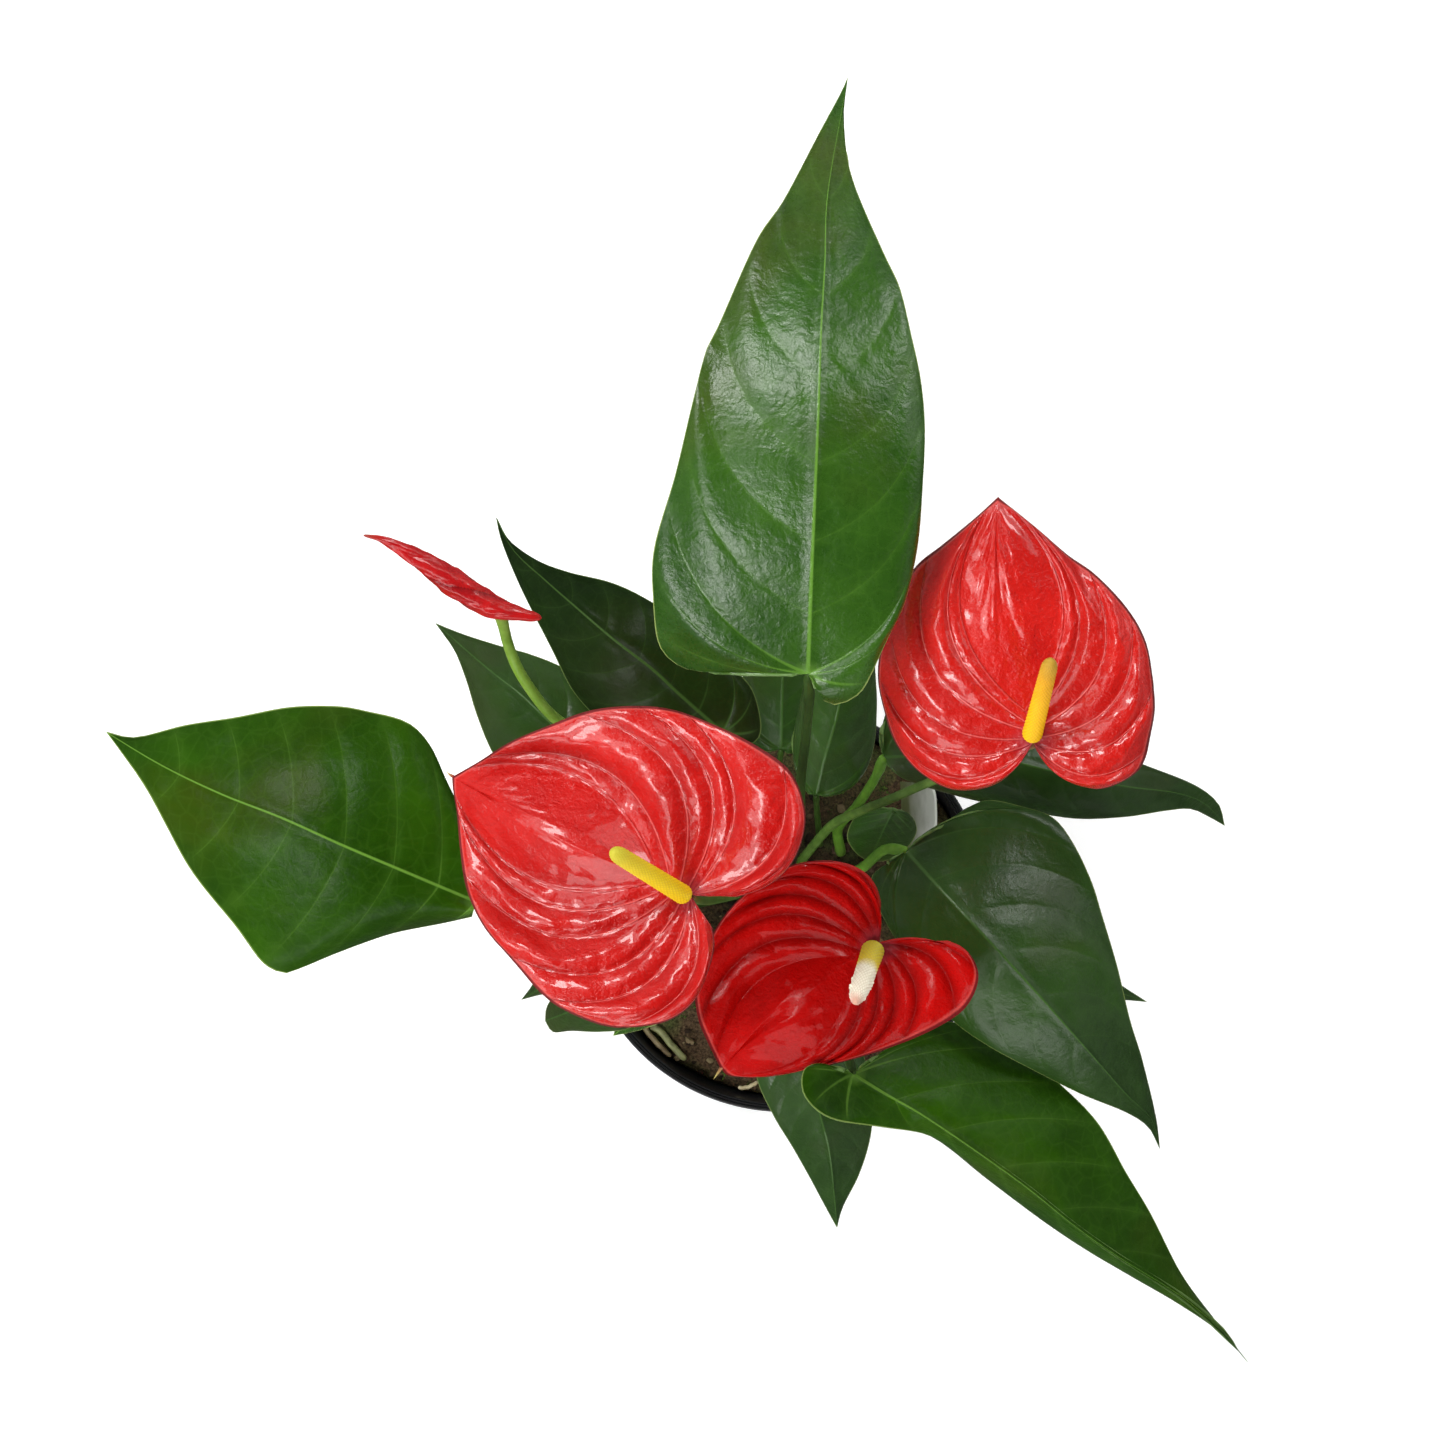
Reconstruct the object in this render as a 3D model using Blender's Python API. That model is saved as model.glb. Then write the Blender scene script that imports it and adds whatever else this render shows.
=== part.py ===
"""A potted anthurium: red spathes with yellow spadices and heart-shaped leaves on long stalks.

Metres, +Z up. The origin is at the middle of the pot's underside, which stands on z = 0.
Every outline is laid out in plan, as the plant is seen from straight above: a plan point is
(right, down, height), where right and down are pixels of a square view from EYE and height is in
millimetres above the table. spot() turns it into metres, so pieces that stand higher look larger.
"""
import math

import bmesh
import bpy
import numpy as np
from mathutils import Vector, noise

for thing in list(bpy.data.objects):
    bpy.data.objects.remove(thing, do_unlink=True)

MM = 0.001
GAP = 0.3 * MM

# The pot
POT_HEIGHT = 100 * MM
RIM_RADIUS = 60 * MM
RIM_DEPTH = 9 * MM
RIM_INSIDE = 57.2 * MM
BASE_RADIUS = 43 * MM
WALL = 1.3 * MM
FLOOR = 2 * MM
POT_SIDES = 40
DRAIN_COUNT = 8
DRAIN_RING = 33 * MM
DRAIN_RADIUS = 4 * MM

# The soil, with a hole for each stem
SOIL_TOP = 95 * MM
SOIL_LUMP = 1.2 * MM
SOIL_CALM = 30 * MM
HOLE_DEPTH = 22 * MM

# The view from above that the plan is laid out in
PLAN_CENTRE = 722.5
PLAN_POT = (784, 908)
PLAN_RIM = 204.5
EYE_HEIGHT = 1150 * MM
RIM_PIXEL = RIM_RADIUS / PLAN_RIM
EYE_X = (PLAN_CENTRE - PLAN_POT[0]) * RIM_PIXEL
EYE_Y = (PLAN_POT[1] - PLAN_CENTRE) * RIM_PIXEL
EYE = Vector((EYE_X, EYE_Y, EYE_HEIGHT))

# Blades and stems
BLADE = 0.7 * MM
RIB_EXTRA = 0.9 * MM
SPATHE = 0.9 * MM
STEM_SIDES = 6
STEM_STATIONS = 9
STEM_RISE = 2 * MM
STEM_UPRIGHT = 5 * MM
JOINT_NUB = 0.9 * MM
BLOOM_DROP = SPATHE + 3 * GAP
LEAF_VEINS = 6
LEAF_COLUMNS = 3
SPATHE_COLUMNS = 4
RAY_BOW = 0.14

GREEN_BLADE = ((0.03, 0.10, 0.02), 0.35)
GREEN_STEM = ((0.16, 0.30, 0.05), 0.45)
RED = ((0.62, 0.01, 0.01), 0.2)
YELLOW = ((0.80, 0.60, 0.03), 0.5)
BLACK = ((0.012, 0.012, 0.014), 0.35)
EARTH = ((0.05, 0.03, 0.02), 0.9)
ROOT = ((0.35, 0.32, 0.16), 0.6)
WHITE = ((0.75, 0.75, 0.75), 0.4)


def spot(plan):
    """The place in metres of a plan point."""
    right, down, height = plan
    z = height * MM
    pixel = RIM_PIXEL * (EYE.z - z) / (EYE.z - POT_HEIGHT)
    return Vector((EYE.x + (right - PLAN_CENTRE) * pixel, EYE.y - (down - PLAN_CENTRE) * pixel, z))


def smooth_line(points, steps=12):
    """A smooth curve through the points, as a function of the share of its length."""
    knots = np.array([tuple(point) for point in points], dtype=float)
    ends = np.vstack([2 * knots[0] - knots[1], knots, 2 * knots[-1] - knots[-2]])
    dense = []
    for a, b, c, d in zip(ends, ends[1:], ends[2:], ends[3:]):
        cubic = 3 * b - 3 * c + d - a
        square = 2 * a - 5 * b + 4 * c - d
        for t in np.linspace(0, 1, steps, endpoint=False):
            dense.append(b + 0.5 * t * (c - a + t * (square + t * cubic)))
    dense = np.array(dense + [knots[-1]])
    steps_long = np.linalg.norm(np.diff(dense, axis=0), axis=1)
    length = np.concatenate([[0], np.cumsum(steps_long)])

    def at(share):
        return np.array([np.interp(share * length[-1], length, dense[:, axis]) for axis in range(3)])

    return at


def paint(thing, name, finish):
    """Gives an object its own plain material."""
    colour, roughness = finish
    material = bpy.data.materials.new(name)
    material.use_nodes = True
    shader = material.node_tree.nodes["Principled BSDF"]
    shader.inputs["Base Color"].default_value = (*colour, 1)
    shader.inputs["Roughness"].default_value = roughness
    thing.data.materials.append(material)


def add_object(name, mesh_or_curve, finish=None):
    thing = bpy.data.objects.new(name, mesh_or_curve)
    bpy.context.scene.collection.objects.link(thing)
    if finish:
        paint(thing, name, finish)
    return thing


def object_from(name, bm, finish=None):
    mesh = bpy.data.meshes.new(name)
    bm.to_mesh(mesh)
    bm.free()
    mesh.shade_smooth()
    mesh.set_sharp_from_angle(angle=math.radians(50))
    return add_object(name, mesh, finish)


def settle(thing):
    """Applies an object's modifiers."""
    graph = bpy.context.evaluated_depsgraph_get()
    mesh = bpy.data.meshes.new_from_object(thing.evaluated_get(graph))
    thing.modifiers.clear()
    old = thing.data
    thing.data = mesh
    bpy.data.meshes.remove(old)


def combine(thing, others, operation):
    """Joins other solids to an object, or cuts them out of it, and removes them."""
    group = bpy.data.collections.new(thing.name + "_others")
    bpy.context.scene.collection.children.link(group)
    for other in others:
        bpy.context.scene.collection.objects.unlink(other)
        group.objects.link(other)
    join = thing.modifiers.new(operation, "BOOLEAN")
    join.operand_type = "COLLECTION"
    join.collection = group
    join.operation = operation
    for solver in ("EXACT", "MANIFOLD"):
        join.solver = solver
        graph = bpy.context.evaluated_depsgraph_get()
        if len(thing.evaluated_get(graph).data.vertices) > 0:
            break
    settle(thing)
    for other in others:
        bpy.data.objects.remove(other, do_unlink=True)
    bpy.data.collections.remove(group)


def turned(name, profile, sides, finish=None):
    """A solid turned round the Z axis from (radius, height) points that run up its outside."""
    bm = bmesh.new()
    verts = [bm.verts.new((radius, 0, height)) for radius, height in profile]
    edges = [bm.edges.new(pair) for pair in zip(verts, verts[1:])]
    bmesh.ops.spin(bm, geom=verts + edges, cent=(0, 0, 0), axis=(0, 0, 1), angle=2 * math.pi,
                   steps=sides, use_merge=True)
    bmesh.ops.remove_doubles(bm, verts=bm.verts, dist=0.01 * MM)
    bmesh.ops.recalc_face_normals(bm, faces=bm.faces)
    return object_from(name, bm, finish)


def tube(name, route, radii, sides=STEM_SIDES, finish=None):
    """A solid round stem along a route, with a radius at each of its points."""
    bm = bmesh.new()
    rings = []
    for number, (here, radius) in enumerate(zip(route, radii)):
        ahead = route[min(number + 1, len(route) - 1)] - route[max(number - 1, 0)]
        turn = Vector((0, 0, 1)).rotation_difference(ahead)
        ring = []
        for side in range(sides):
            angle = 2 * math.pi * side / sides
            ring.append(bm.verts.new(here + turn @ Vector((math.cos(angle), math.sin(angle), 0)) * radius))
        rings.append(ring)
    bm.faces.new(reversed(rings[0]))
    bm.faces.new(rings[-1])
    for low, high in zip(rings, rings[1:]):
        for side in range(sides):
            beside = (side + 1) % sides
            bm.faces.new((low[side], low[beside], high[beside], high[side]))
    bmesh.ops.recalc_face_normals(bm, faces=bm.faces)
    bmesh.ops.triangulate(bm, faces=bm.faces)
    return object_from(name, bm, finish)


def blade_place(blade):
    """Where a point of a blade lies in plan, from its share across (-1 to 1) and along (0 to 1).

    The blade's rays run from the rib to the edge, as its side veins do: the first ones leave the
    joint with the stem, where the edge is still at the lobes, and the rest leave the rib in turn.
    """
    rib = smooth_line([blade["joint"]] + blade["rib"] + [blade["tip"]])
    edges = {
        -1: smooth_line(blade["left"] + [blade["tip"]]),
        1: smooth_line(blade["right"] + [blade["tip"]]),
    }
    towards_tip = np.array(blade["tip"][:2]) - np.array(blade["joint"][:2])
    basal = dict(zip((-1, 1), blade.get("basal", (0.3, 0.3))))
    hands = {}
    for side, edge in edges.items():
        middle = (edge(0.6) - rib(0.3))[:2]
        hands[side] = -1 if np.array((middle[1], -middle[0])) @ towards_tip > 0 else 1

    def place(across, along):
        share = abs(across)
        side = -1 if across < 0 else 1
        start = rib(max(0, (along - basal[side]) / (1 - basal[side])) ** 1.2)
        end = edges[side](along)
        backward = hands[side] * np.array((end[1] - start[1], start[0] - end[0]))
        bow = blade.get("bow", RAY_BOW) * math.sin(math.pi * along) ** 2 * 4 * share * (1 - share)
        point = start + (end - start) * share
        point[:2] += backward * bow
        calm_ends = min(1, 5 * along, 5 * (1 - along))
        belly = 4 * share * (1 - share)
        between_veins = abs((along * blade.get("veins", LEAF_VEINS) * 2 + 1) % 2 - 1)
        point[2] += belly * blade.get("arch", 2) * (1 - along)
        point[2] += belly * calm_ends * blade.get("quilt", 0.5) * (between_veins - 0.5)
        swing = math.sin(2 * math.pi * blade.get("waves", 3) * along + 4 * across)
        point[2] += share ** 2 * calm_ends * blade.get("wave", 1) * swing
        return point

    return place


def blade_sheet(name, blade, columns, thickness, rib_extra=0.0):
    """A closed thin blade, thicker along its rib, split into triangles alike on both faces."""
    place = blade_place(blade)
    rows = 2 * blade.get("veins", LEAF_VEINS)
    bm = bmesh.new()
    bmesh.ops.create_grid(bm, x_segments=2 * columns, y_segments=rows, size=1)
    wall = bm.verts.layers.float.new("wall")
    for vert in bm.verts:
        across, along = vert.co.x, (vert.co.y + 1) / 2
        vert[wall] = thickness + rib_extra * (1 - abs(across)) ** 4
        vert.co = spot(place(across, along))
    bmesh.ops.remove_doubles(bm, verts=bm.verts, dist=0.02 * MM)
    bmesh.ops.triangulate(bm, faces=bm.faces, quad_method="SHORT_EDGE")
    bmesh.ops.recalc_face_normals(bm, faces=bm.faces)
    facing = sum((face.normal * face.calc_area() for face in bm.faces), Vector())
    through = facing.normalized() * (-1 if facing.z > 0 else 1)
    lower = bmesh.ops.extrude_face_region(bm, geom=bm.faces[:], use_keep_orig=True)
    for vert in lower["geom"]:
        if isinstance(vert, bmesh.types.BMVert):
            vert.co += through * vert[wall]
    bmesh.ops.triangulate(bm, faces=[face for face in bm.faces if len(face.verts) > 3])
    bmesh.ops.recalc_face_normals(bm, faces=bm.faces)
    return object_from(name, bm)


def stem_route(base, plan_points, end):
    """A stem's route: straight up out of its hole at base, then smoothly through the plan points."""
    foot = Vector((base[0] * MM, base[1] * MM, SOIL_TOP - HOLE_DEPTH + GAP))
    rise = Vector((foot.x, foot.y, SOIL_TOP + SOIL_LUMP + STEM_RISE))
    points = [rise, rise + Vector((0, 0, STEM_UPRIGHT))] + [spot(point) for point in plan_points] + [end]
    line = smooth_line(points)
    return [foot] + [Vector(line(number / STEM_STATIONS)) for number in range(STEM_STATIONS + 1)]


def stem_hole(name, base, radius):
    """The cutter for a stem's hole in the soil."""
    bm = bmesh.new()
    bmesh.ops.create_cone(bm, cap_ends=True, segments=STEM_SIDES * 2, radius1=radius, radius2=radius,
                          depth=HOLE_DEPTH * 2)
    bmesh.ops.translate(bm, verts=bm.verts, vec=(base[0] * MM, base[1] * MM, SOIL_TOP))
    return object_from(name, bm)


def stem_radii(foot, top):
    """The radius at each point of a stem's route, from millimetres at its foot and top."""
    shares = [0] + [number / STEM_STATIONS for number in range(STEM_STATIONS + 1)]
    return [(foot + (top - foot) * share) * MM for share in shares]


def build_leaf(name, leaf):
    """One leaf: its blade and its stalk, grown together."""
    blade = blade_sheet(name, leaf, leaf.get("columns", LEAF_COLUMNS), BLADE, RIB_EXTRA)
    joint = spot(leaf["joint"])
    route = stem_route(leaf["base"], leaf["stalk"], joint + Vector((0, 0, JOINT_NUB)))
    stalk = tube(name + "_stalk", route, stem_radii(*leaf["stalk_radius"]))
    combine(blade, [stalk], "UNION")
    paint(blade, name, GREEN_BLADE)
    return blade


def build_spathe(name, bloom):
    spathe = blade_sheet(name, bloom, SPATHE_COLUMNS, SPATHE)
    paint(spathe, name, RED)
    return spathe


def build_peduncle(name, bloom, drop):
    """The bare stem below a bloom, which ends close under it."""
    end = spot(bloom["joint"]) - Vector((0, 0, drop))
    route = stem_route(bloom["base"], bloom["stalk"], end)
    return tube(name, route, stem_radii(*bloom["stalk_radius"]), finish=GREEN_STEM)


def build_spadix(name, bloom):
    """The round-ended spike of tiny florets that stands on the spathe at its joint."""
    low = spot(bloom["spadix_foot"])
    high = spot(bloom["spadix_tip"])
    thick, thin = bloom["spadix_radius"]
    shares = (0, 0.04, 0.2, 0.45, 0.7, 0.88, 0.96, 1)
    rounding = (0.62, 0.9, 1, 1, 1, 0.86, 0.6, 0.25)
    route = [low.lerp(high, share) for share in shares]
    radii = [(thick + (thin - thick) * share) * form * MM for share, form in zip(shares, rounding)]
    return tube(name, route, radii, sides=8, finish=YELLOW)


def build_bud(name, bud):
    """A young spathe, still rolled round its spadix into a spindle."""
    route = [spot(point) for point in bud["axis"]]
    return tube(name, route, [radius * MM for radius in bud["radii"]], sides=8, finish=RED)


def build_pot():
    """A thin moulded pot with a ribbed rolled rim and drain holes in its floor."""
    slope = (RIM_INSIDE - BASE_RADIUS) / POT_HEIGHT
    lip = RIM_RADIUS - RIM_INSIDE
    under = POT_HEIGHT - RIM_DEPTH
    rim_steps = [
        (RIM_RADIUS, under),
        (RIM_RADIUS, POT_HEIGHT - 1.2 * MM),
        (RIM_RADIUS - 0.5 * MM, POT_HEIGHT - 0.3 * MM),
        (RIM_RADIUS - 0.35 * lip, POT_HEIGHT),
        (RIM_RADIUS - 0.5 * lip, POT_HEIGHT - 0.5 * MM),
        (RIM_RADIUS - 0.65 * lip, POT_HEIGHT),
        (RIM_INSIDE + 0.3 * MM, POT_HEIGHT - 0.3 * MM),
        (RIM_INSIDE - 0.1 * MM, POT_HEIGHT - 1.2 * MM),
    ]
    outside = [(0, 0), (BASE_RADIUS - 1 * MM, 0), (BASE_RADIUS, 1 * MM)]
    outside.append((BASE_RADIUS + slope * under, under))
    inside = [(BASE_RADIUS - WALL + slope * FLOOR, FLOOR), (0, FLOOR)]
    pot = turned("pot", outside + rim_steps + inside, POT_SIDES, BLACK)
    drains = []
    for number in range(DRAIN_COUNT):
        angle = 2 * math.pi * (number + 0.5) / DRAIN_COUNT
        bm = bmesh.new()
        bmesh.ops.create_cone(bm, cap_ends=True, segments=10, radius1=DRAIN_RADIUS, radius2=DRAIN_RADIUS,
                              depth=FLOOR * 4)
        bmesh.ops.translate(bm, verts=bm.verts,
                            vec=(DRAIN_RING * math.cos(angle), DRAIN_RING * math.sin(angle), 0))
        drains.append(object_from("drain", bm))
    combine(pot, drains, "DIFFERENCE")
    return pot


def build_soil(cutters):
    """The root ball: it fills the pot, and its lumpy top has a hole for each stem."""
    slope = (RIM_INSIDE - BASE_RADIUS) / POT_HEIGHT
    foot = BASE_RADIUS - WALL - 2 * GAP + slope * FLOOR
    rim = foot + slope * (SOIL_TOP - FLOOR) - GAP
    profile = [(0, FLOOR + GAP), (foot, FLOOR + GAP), (rim, SOIL_TOP)]
    profile += [(rim * share, SOIL_TOP) for share in (0.93, 0.84, 0.74, 0.62, 0.5, 0.36, 0.2, 0)]
    soil = turned("soil", profile, 32, EARTH)
    for vert in soil.data.vertices:
        reach = vert.co.xy.length
        if vert.co.z > SOIL_TOP - GAP and reach < rim * 0.96:
            calm = min(1, max(0.15, reach / SOIL_CALM - 0.3))
            vert.co.z += SOIL_LUMP * calm * noise.noise(vert.co * 90)
    combine(soil, cutters, "DIFFERENCE")
    return soil


# The leaves. "left" and "right" are the two edges from the back of each lobe to the tip, as plan
# points; "base" is the stem's hole in the soil, in millimetres from the pot's axis.
LEAVES = {
    "leaf_rear_tall": {
        "joint": (808, 674, 300), "base": (-1.5, 14), "waves": 4,
        "rib": [(811, 586, 309), (815, 492, 315), (818, 421, 316), (821, 333, 312), (825, 262, 305),
                (828, 192, 296)],
        "tip": (848, 76, 272),
        "left": [(702, 672, 296), (679, 666, 294), (659, 645, 295), (653, 600, 299), (654, 548, 303),
                 (675, 475, 308), (692, 404, 310), (706, 350, 309), (718, 326, 308), (756, 241, 301),
                 (784, 199, 297), (819, 133, 285), (841, 92, 275)],
        "right": [(818, 686, 299), (823, 700, 297), (836, 705, 296), (852, 699, 297), (866, 685, 299),
                  (888, 638, 302), (905, 602, 304), (918, 545, 306), (923, 482, 308), (925, 428, 309),
                  (921, 380, 309), (911, 333, 307), (900, 288, 304), (883, 251, 301), (852, 177, 292),
                  (844, 120, 280)],
        "stalk": [(797, 840, 140), (801, 779, 215), (806, 736, 255), (809, 700, 285)],
        "stalk_radius": (1.9, 1.3),
    },
    "leaf_left": {
        "joint": (476, 902, 228), "base": (-11, 11), "waves": 2, "arch": 5,
        "basal": (0.04, 0.12), "bow": 0.06,
        "rib": [(455, 893, 231), (403, 871, 238), (342, 845, 241), (282, 818, 240), (221, 794, 235),
                (161, 765, 226)],
        "tip": (106, 732, 213),
        "left": [(472, 917, 223), (440, 924, 221), (391, 934, 222), (340, 952, 223), (299, 969, 224),
                 (283, 973, 224), (262, 962, 225), (236, 927, 227), (190, 869, 229), (148, 792, 225),
                 (120, 751, 216)],
        "right": [(474, 838, 229), (460, 808, 230), (446, 779, 231), (430, 745, 231), (407, 722, 231),
                  (367, 711, 230), (337, 706, 230), (289, 707, 229), (236, 717, 227), (185, 725, 223),
                  (136, 737, 217)],
        "stalk": [(688, 872, 150), (605, 880, 200)],
        "stalk_radius": (1.9, 1.2),
    },
    "leaf_rear_dark": {
        "joint": (722, 732, 192), "base": (-3, 21), "waves": 3,
        "rib": [(679, 694, 199), (652, 669, 202), (613, 639, 204), (578, 609, 201), (545, 580, 195),
                (514, 551, 186)],
        "tip": (496, 518, 180),
        "left": [(722, 748, 190), (718, 768, 186), (700, 780, 184), (672, 774, 184), (640, 752, 186),
                 (610, 730, 188), (586, 707, 190), (569, 685, 191), (552, 650, 192), (528, 603, 190),
                 (514, 573, 187), (501, 540, 182)],
        "right": [(733, 738, 192), (748, 744, 191), (759, 738, 190), (761, 720, 190), (753, 691, 192),
                  (738, 672, 194), (700, 634, 197), (652, 602, 198), (613, 583, 197), (569, 572, 194),
                  (537, 560, 189), (508, 539, 183)],
        "stalk": [(730, 760, 165)],
        "stalk_radius": (1.8, 1.2),
    },
    "leaf_rear_low": {
        "joint": (631, 790, 180), "base": (-10, 18), "waves": 2,
        "rib": [(590, 754, 184), (550, 722, 185), (520, 694, 183), (487, 668, 178)],
        "tip": (435, 623, 166),
        "left": [(630, 806, 178), (618, 824, 176), (590, 832, 175), (552, 822, 175), (515, 790, 176),
                 (491, 750, 176), (476, 713, 175), (466, 680, 173), (455, 652, 170), (443, 634, 167)],
        "right": [(645, 792, 179), (656, 780, 178), (652, 755, 178), (632, 722, 179), (600, 692, 179),
                  (564, 668, 178), (530, 654, 176), (501, 646, 173), (466, 635, 169)],
        "stalk": [(680, 822, 145)],
        "stalk_radius": (1.7, 1.1),
    },
    "leaf_middle_grey": {
        "joint": (781, 749, 150), "base": (4, 22), "veins": 4, "basal": (0.35, 0.35),
        "rib": [(782, 700, 157), (784, 640, 161), (786, 590, 159)],
        "tip": (788, 540, 150),
        "left": [(770, 752, 149), (755, 748, 147), (745, 730, 147), (742, 700, 149), (745, 650, 152),
                 (757, 600, 153)],
        "right": [(788, 754, 149), (800, 752, 147), (812, 735, 147), (818, 700, 149), (817, 650, 152),
                  (806, 590, 152)],
        "stalk": [(781, 775, 130)],
        "stalk_radius": (1.4, 0.9),
    },
    "leaf_middle_round": {
        "joint": (816, 795, 168), "base": (10.5, 19), "veins": 5, "basal": (0.35, 0.35),
        "rib": [(824, 760, 176), (836, 720, 182), (846, 670, 184), (853, 630, 181)],
        "tip": (858, 590, 174),
        "left": [(808, 794, 167), (800, 783, 165), (794, 765, 166), (793, 745, 168), (798, 710, 171),
                 (810, 665, 174), (832, 620, 175)],
        "right": [(826, 797, 167), (840, 794, 165), (856, 784, 165), (868, 766, 166), (875, 740, 168),
                  (877, 705, 171), (876, 680, 173), (873, 640, 175), (868, 612, 175)],
        "stalk": [(819, 834, 120), (817, 812, 146)],
        "stalk_radius": (1.3, 0.9),
    },
    "leaf_right_narrow": {
        "joint": (884, 757, 190), "base": (16.5, 17), "waves": 2, "basal": (0.25, 0.05),
        "rib": [(930, 757, 197), (1001, 760, 199), (1040, 768, 198), (1085, 779, 194),
                (1130, 787, 187), (1172, 792, 178), (1199, 800, 168), (1213, 811, 159)],
        "tip": (1225, 826, 148),
        "left": [(880, 745, 191), (883, 722, 192), (893, 700, 192), (915, 690, 192), (950, 696, 193),
                 (1000, 712, 193), (1050, 728, 192), (1100, 748, 189), (1145, 765, 183),
                 (1193, 784, 173), (1218, 803, 161)],
        "right": [(903, 777, 184), (930, 788, 182), (960, 797, 182), (1000, 806, 184),
                  (1042, 814, 186), (1080, 819, 187), (1126, 817, 184), (1165, 811, 177),
                  (1190, 809, 168), (1207, 816, 158)],
        "stalk": [(838, 828, 115), (856, 807, 145), (874, 780, 175)],
        "stalk_radius": (1.9, 1.5),
    },
    "leaf_right_broad": {
        "joint": (906, 851, 213), "base": (17, 9.5), "waves": 3, "arch": 3,
        "rib": [(944, 893, 222), (990, 942, 226), (1035, 991, 223), (1081, 1043, 214),
                (1127, 1095, 197), (1151, 1118, 184)],
        "tip": (1160, 1149, 172),
        "left": [(966, 808, 211), (988, 800, 211), (1020, 806, 213), (1052, 817, 214),
                 (1072, 841, 214), (1091, 880, 214), (1103, 918, 213), (1117, 965, 210),
                 (1130, 1019, 205), (1143, 1062, 196), (1156, 1117, 182)],
        "right": [(880, 868, 210), (872, 876, 208), (871, 888, 207), (880, 911, 207), (897, 942, 208),
                  (920, 980, 210), (950, 1018, 211), (985, 1044, 211), (1029, 1068, 208),
                  (1081, 1094, 202), (1125, 1112, 192), (1148, 1127, 181)],
        "stalk": [(862, 868, 150), (884, 850, 196)],
        "stalk_radius": (2.0, 1.5),
    },
    "leaf_front_long": {
        "joint": (853, 1074, 221), "base": (10, -3), "waves": 3, "basal": (0.24, 0.2), "bow": 0.06,
        "rib": [(887, 1095, 219), (920, 1114, 217), (968, 1146, 214), (1027, 1188, 209),
                (1073, 1225, 201), (1117, 1256, 190), (1181, 1296, 172), (1222, 1331, 159)],
        "tip": (1249, 1363, 148),
        "left": [(900, 1038, 208), (925, 1025, 203), (952, 1022, 201), (985, 1030, 198),
                 (1025, 1056, 197), (1060, 1084, 197), (1098, 1123, 195), (1126, 1172, 189),
                 (1151, 1214, 181), (1181, 1273, 168), (1213, 1317, 157)],
        "right": [(840, 1068, 224), (820, 1062, 230), (804, 1070, 234), (803, 1092, 234),
                  (818, 1111, 232), (840, 1121, 229), (880, 1127, 222), (924, 1134, 210),
                  (950, 1149, 202), (983, 1176, 194), (1040, 1219, 186), (1086, 1250, 180),
                  (1132, 1277, 172), (1180, 1305, 164), (1222, 1334, 154)],
        "stalk": [(828, 985, 140), (842, 1035, 195)],
        "stalk_radius": (1.9, 1.3),
    },
    "leaf_front_small": {
        "joint": (800, 1030, 156), "base": (2, -6), "veins": 5, "waves": 2, "wave": 0.5,
        "rib": [(808, 1070, 161), (821, 1117, 160), (829, 1150, 154), (834, 1192, 143)],
        "tip": (837, 1228, 130),
        "left": [(778, 1021, 154), (764, 1028, 153), (756, 1045, 153), (757, 1079, 153),
                 (773, 1115, 151), (793, 1148, 147), (811, 1180, 141), (826, 1208, 135)],
        "right": [(824, 1013, 154), (843, 1019, 153), (856, 1037, 153), (868, 1070, 153),
                  (873, 1105, 152), (870, 1140, 149), (859, 1175, 143), (843, 1207, 135)],
        "stalk": [(793, 985, 130)],
        "stalk_radius": (1.5, 1.0),
    },
    "leaf_front_hidden": {
        "joint": (655, 975, 163), "base": (-8, -2), "veins": 5, "waves": 2,
        "rib": [(620, 992, 169), (590, 1004, 168), (566, 1013, 161)],
        "tip": (545, 1021, 150),
        "left": [(662, 990, 162), (655, 1010, 159), (630, 1028, 158), (600, 1032, 157),
                 (572, 1031, 154), (553, 1032, 150)],
        "right": [(658, 962, 162), (645, 946, 159), (618, 944, 159), (588, 962, 160), (562, 985, 157),
                  (547, 1006, 152)],
        "stalk": [(700, 955, 135)],
        "stalk_radius": (1.4, 0.9),
    },
    "leaf_low_left": {
        "joint": (602, 934, 148), "base": (-12, 4), "veins": 4, "waves": 2,
        "rib": [(580, 955, 152), (556, 975, 149), (537, 990, 143)],
        "tip": (521, 1000, 135),
        "left": [(608, 945, 147), (606, 962, 145), (590, 978, 145), (566, 990, 144), (540, 995, 140)],
        "right": [(596, 924, 147), (578, 922, 145), (560, 935, 146), (546, 960, 146), (532, 985, 140)],
        "stalk": [(670, 912, 125)],
        "stalk_radius": (1.3, 0.8),
    },
    "leaf_low_right": {
        "joint": (948, 905, 160), "base": (18, 1.5), "veins": 4, "waves": 2,
        "rib": [(990, 932, 168), (1040, 960, 169), (1090, 982, 162)],
        "tip": (1147, 1002, 146),
        "left": [(950, 893, 159), (970, 880, 157), (1010, 892, 160), (1060, 930, 162),
                 (1108, 975, 156)],
        "right": [(938, 914, 158), (932, 935, 156), (955, 965, 158), (1010, 990, 160),
                  (1070, 1000, 157), (1120, 1000, 151)],
        "stalk": [(900, 893, 130)],
        "stalk_radius": (1.4, 0.9),
    },
    "leaf_young_front": {
        "joint": (668, 985, 126), "base": (-5, -8), "veins": 4, "columns": 2, "waves": 2,
        "rib": [(650, 1002, 130), (632, 1020, 127)],
        "tip": (613, 1036, 119),
        "left": [(676, 992, 125), (680, 1006, 124), (666, 1020, 124), (640, 1030, 122)],
        "right": [(660, 976, 125), (644, 978, 124), (630, 995, 124), (618, 1020, 122)],
        "stalk": [(706, 962, 113)],
        "stalk_radius": (1.2, 0.8),
    },
    "leaf_young_middle": {
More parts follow.
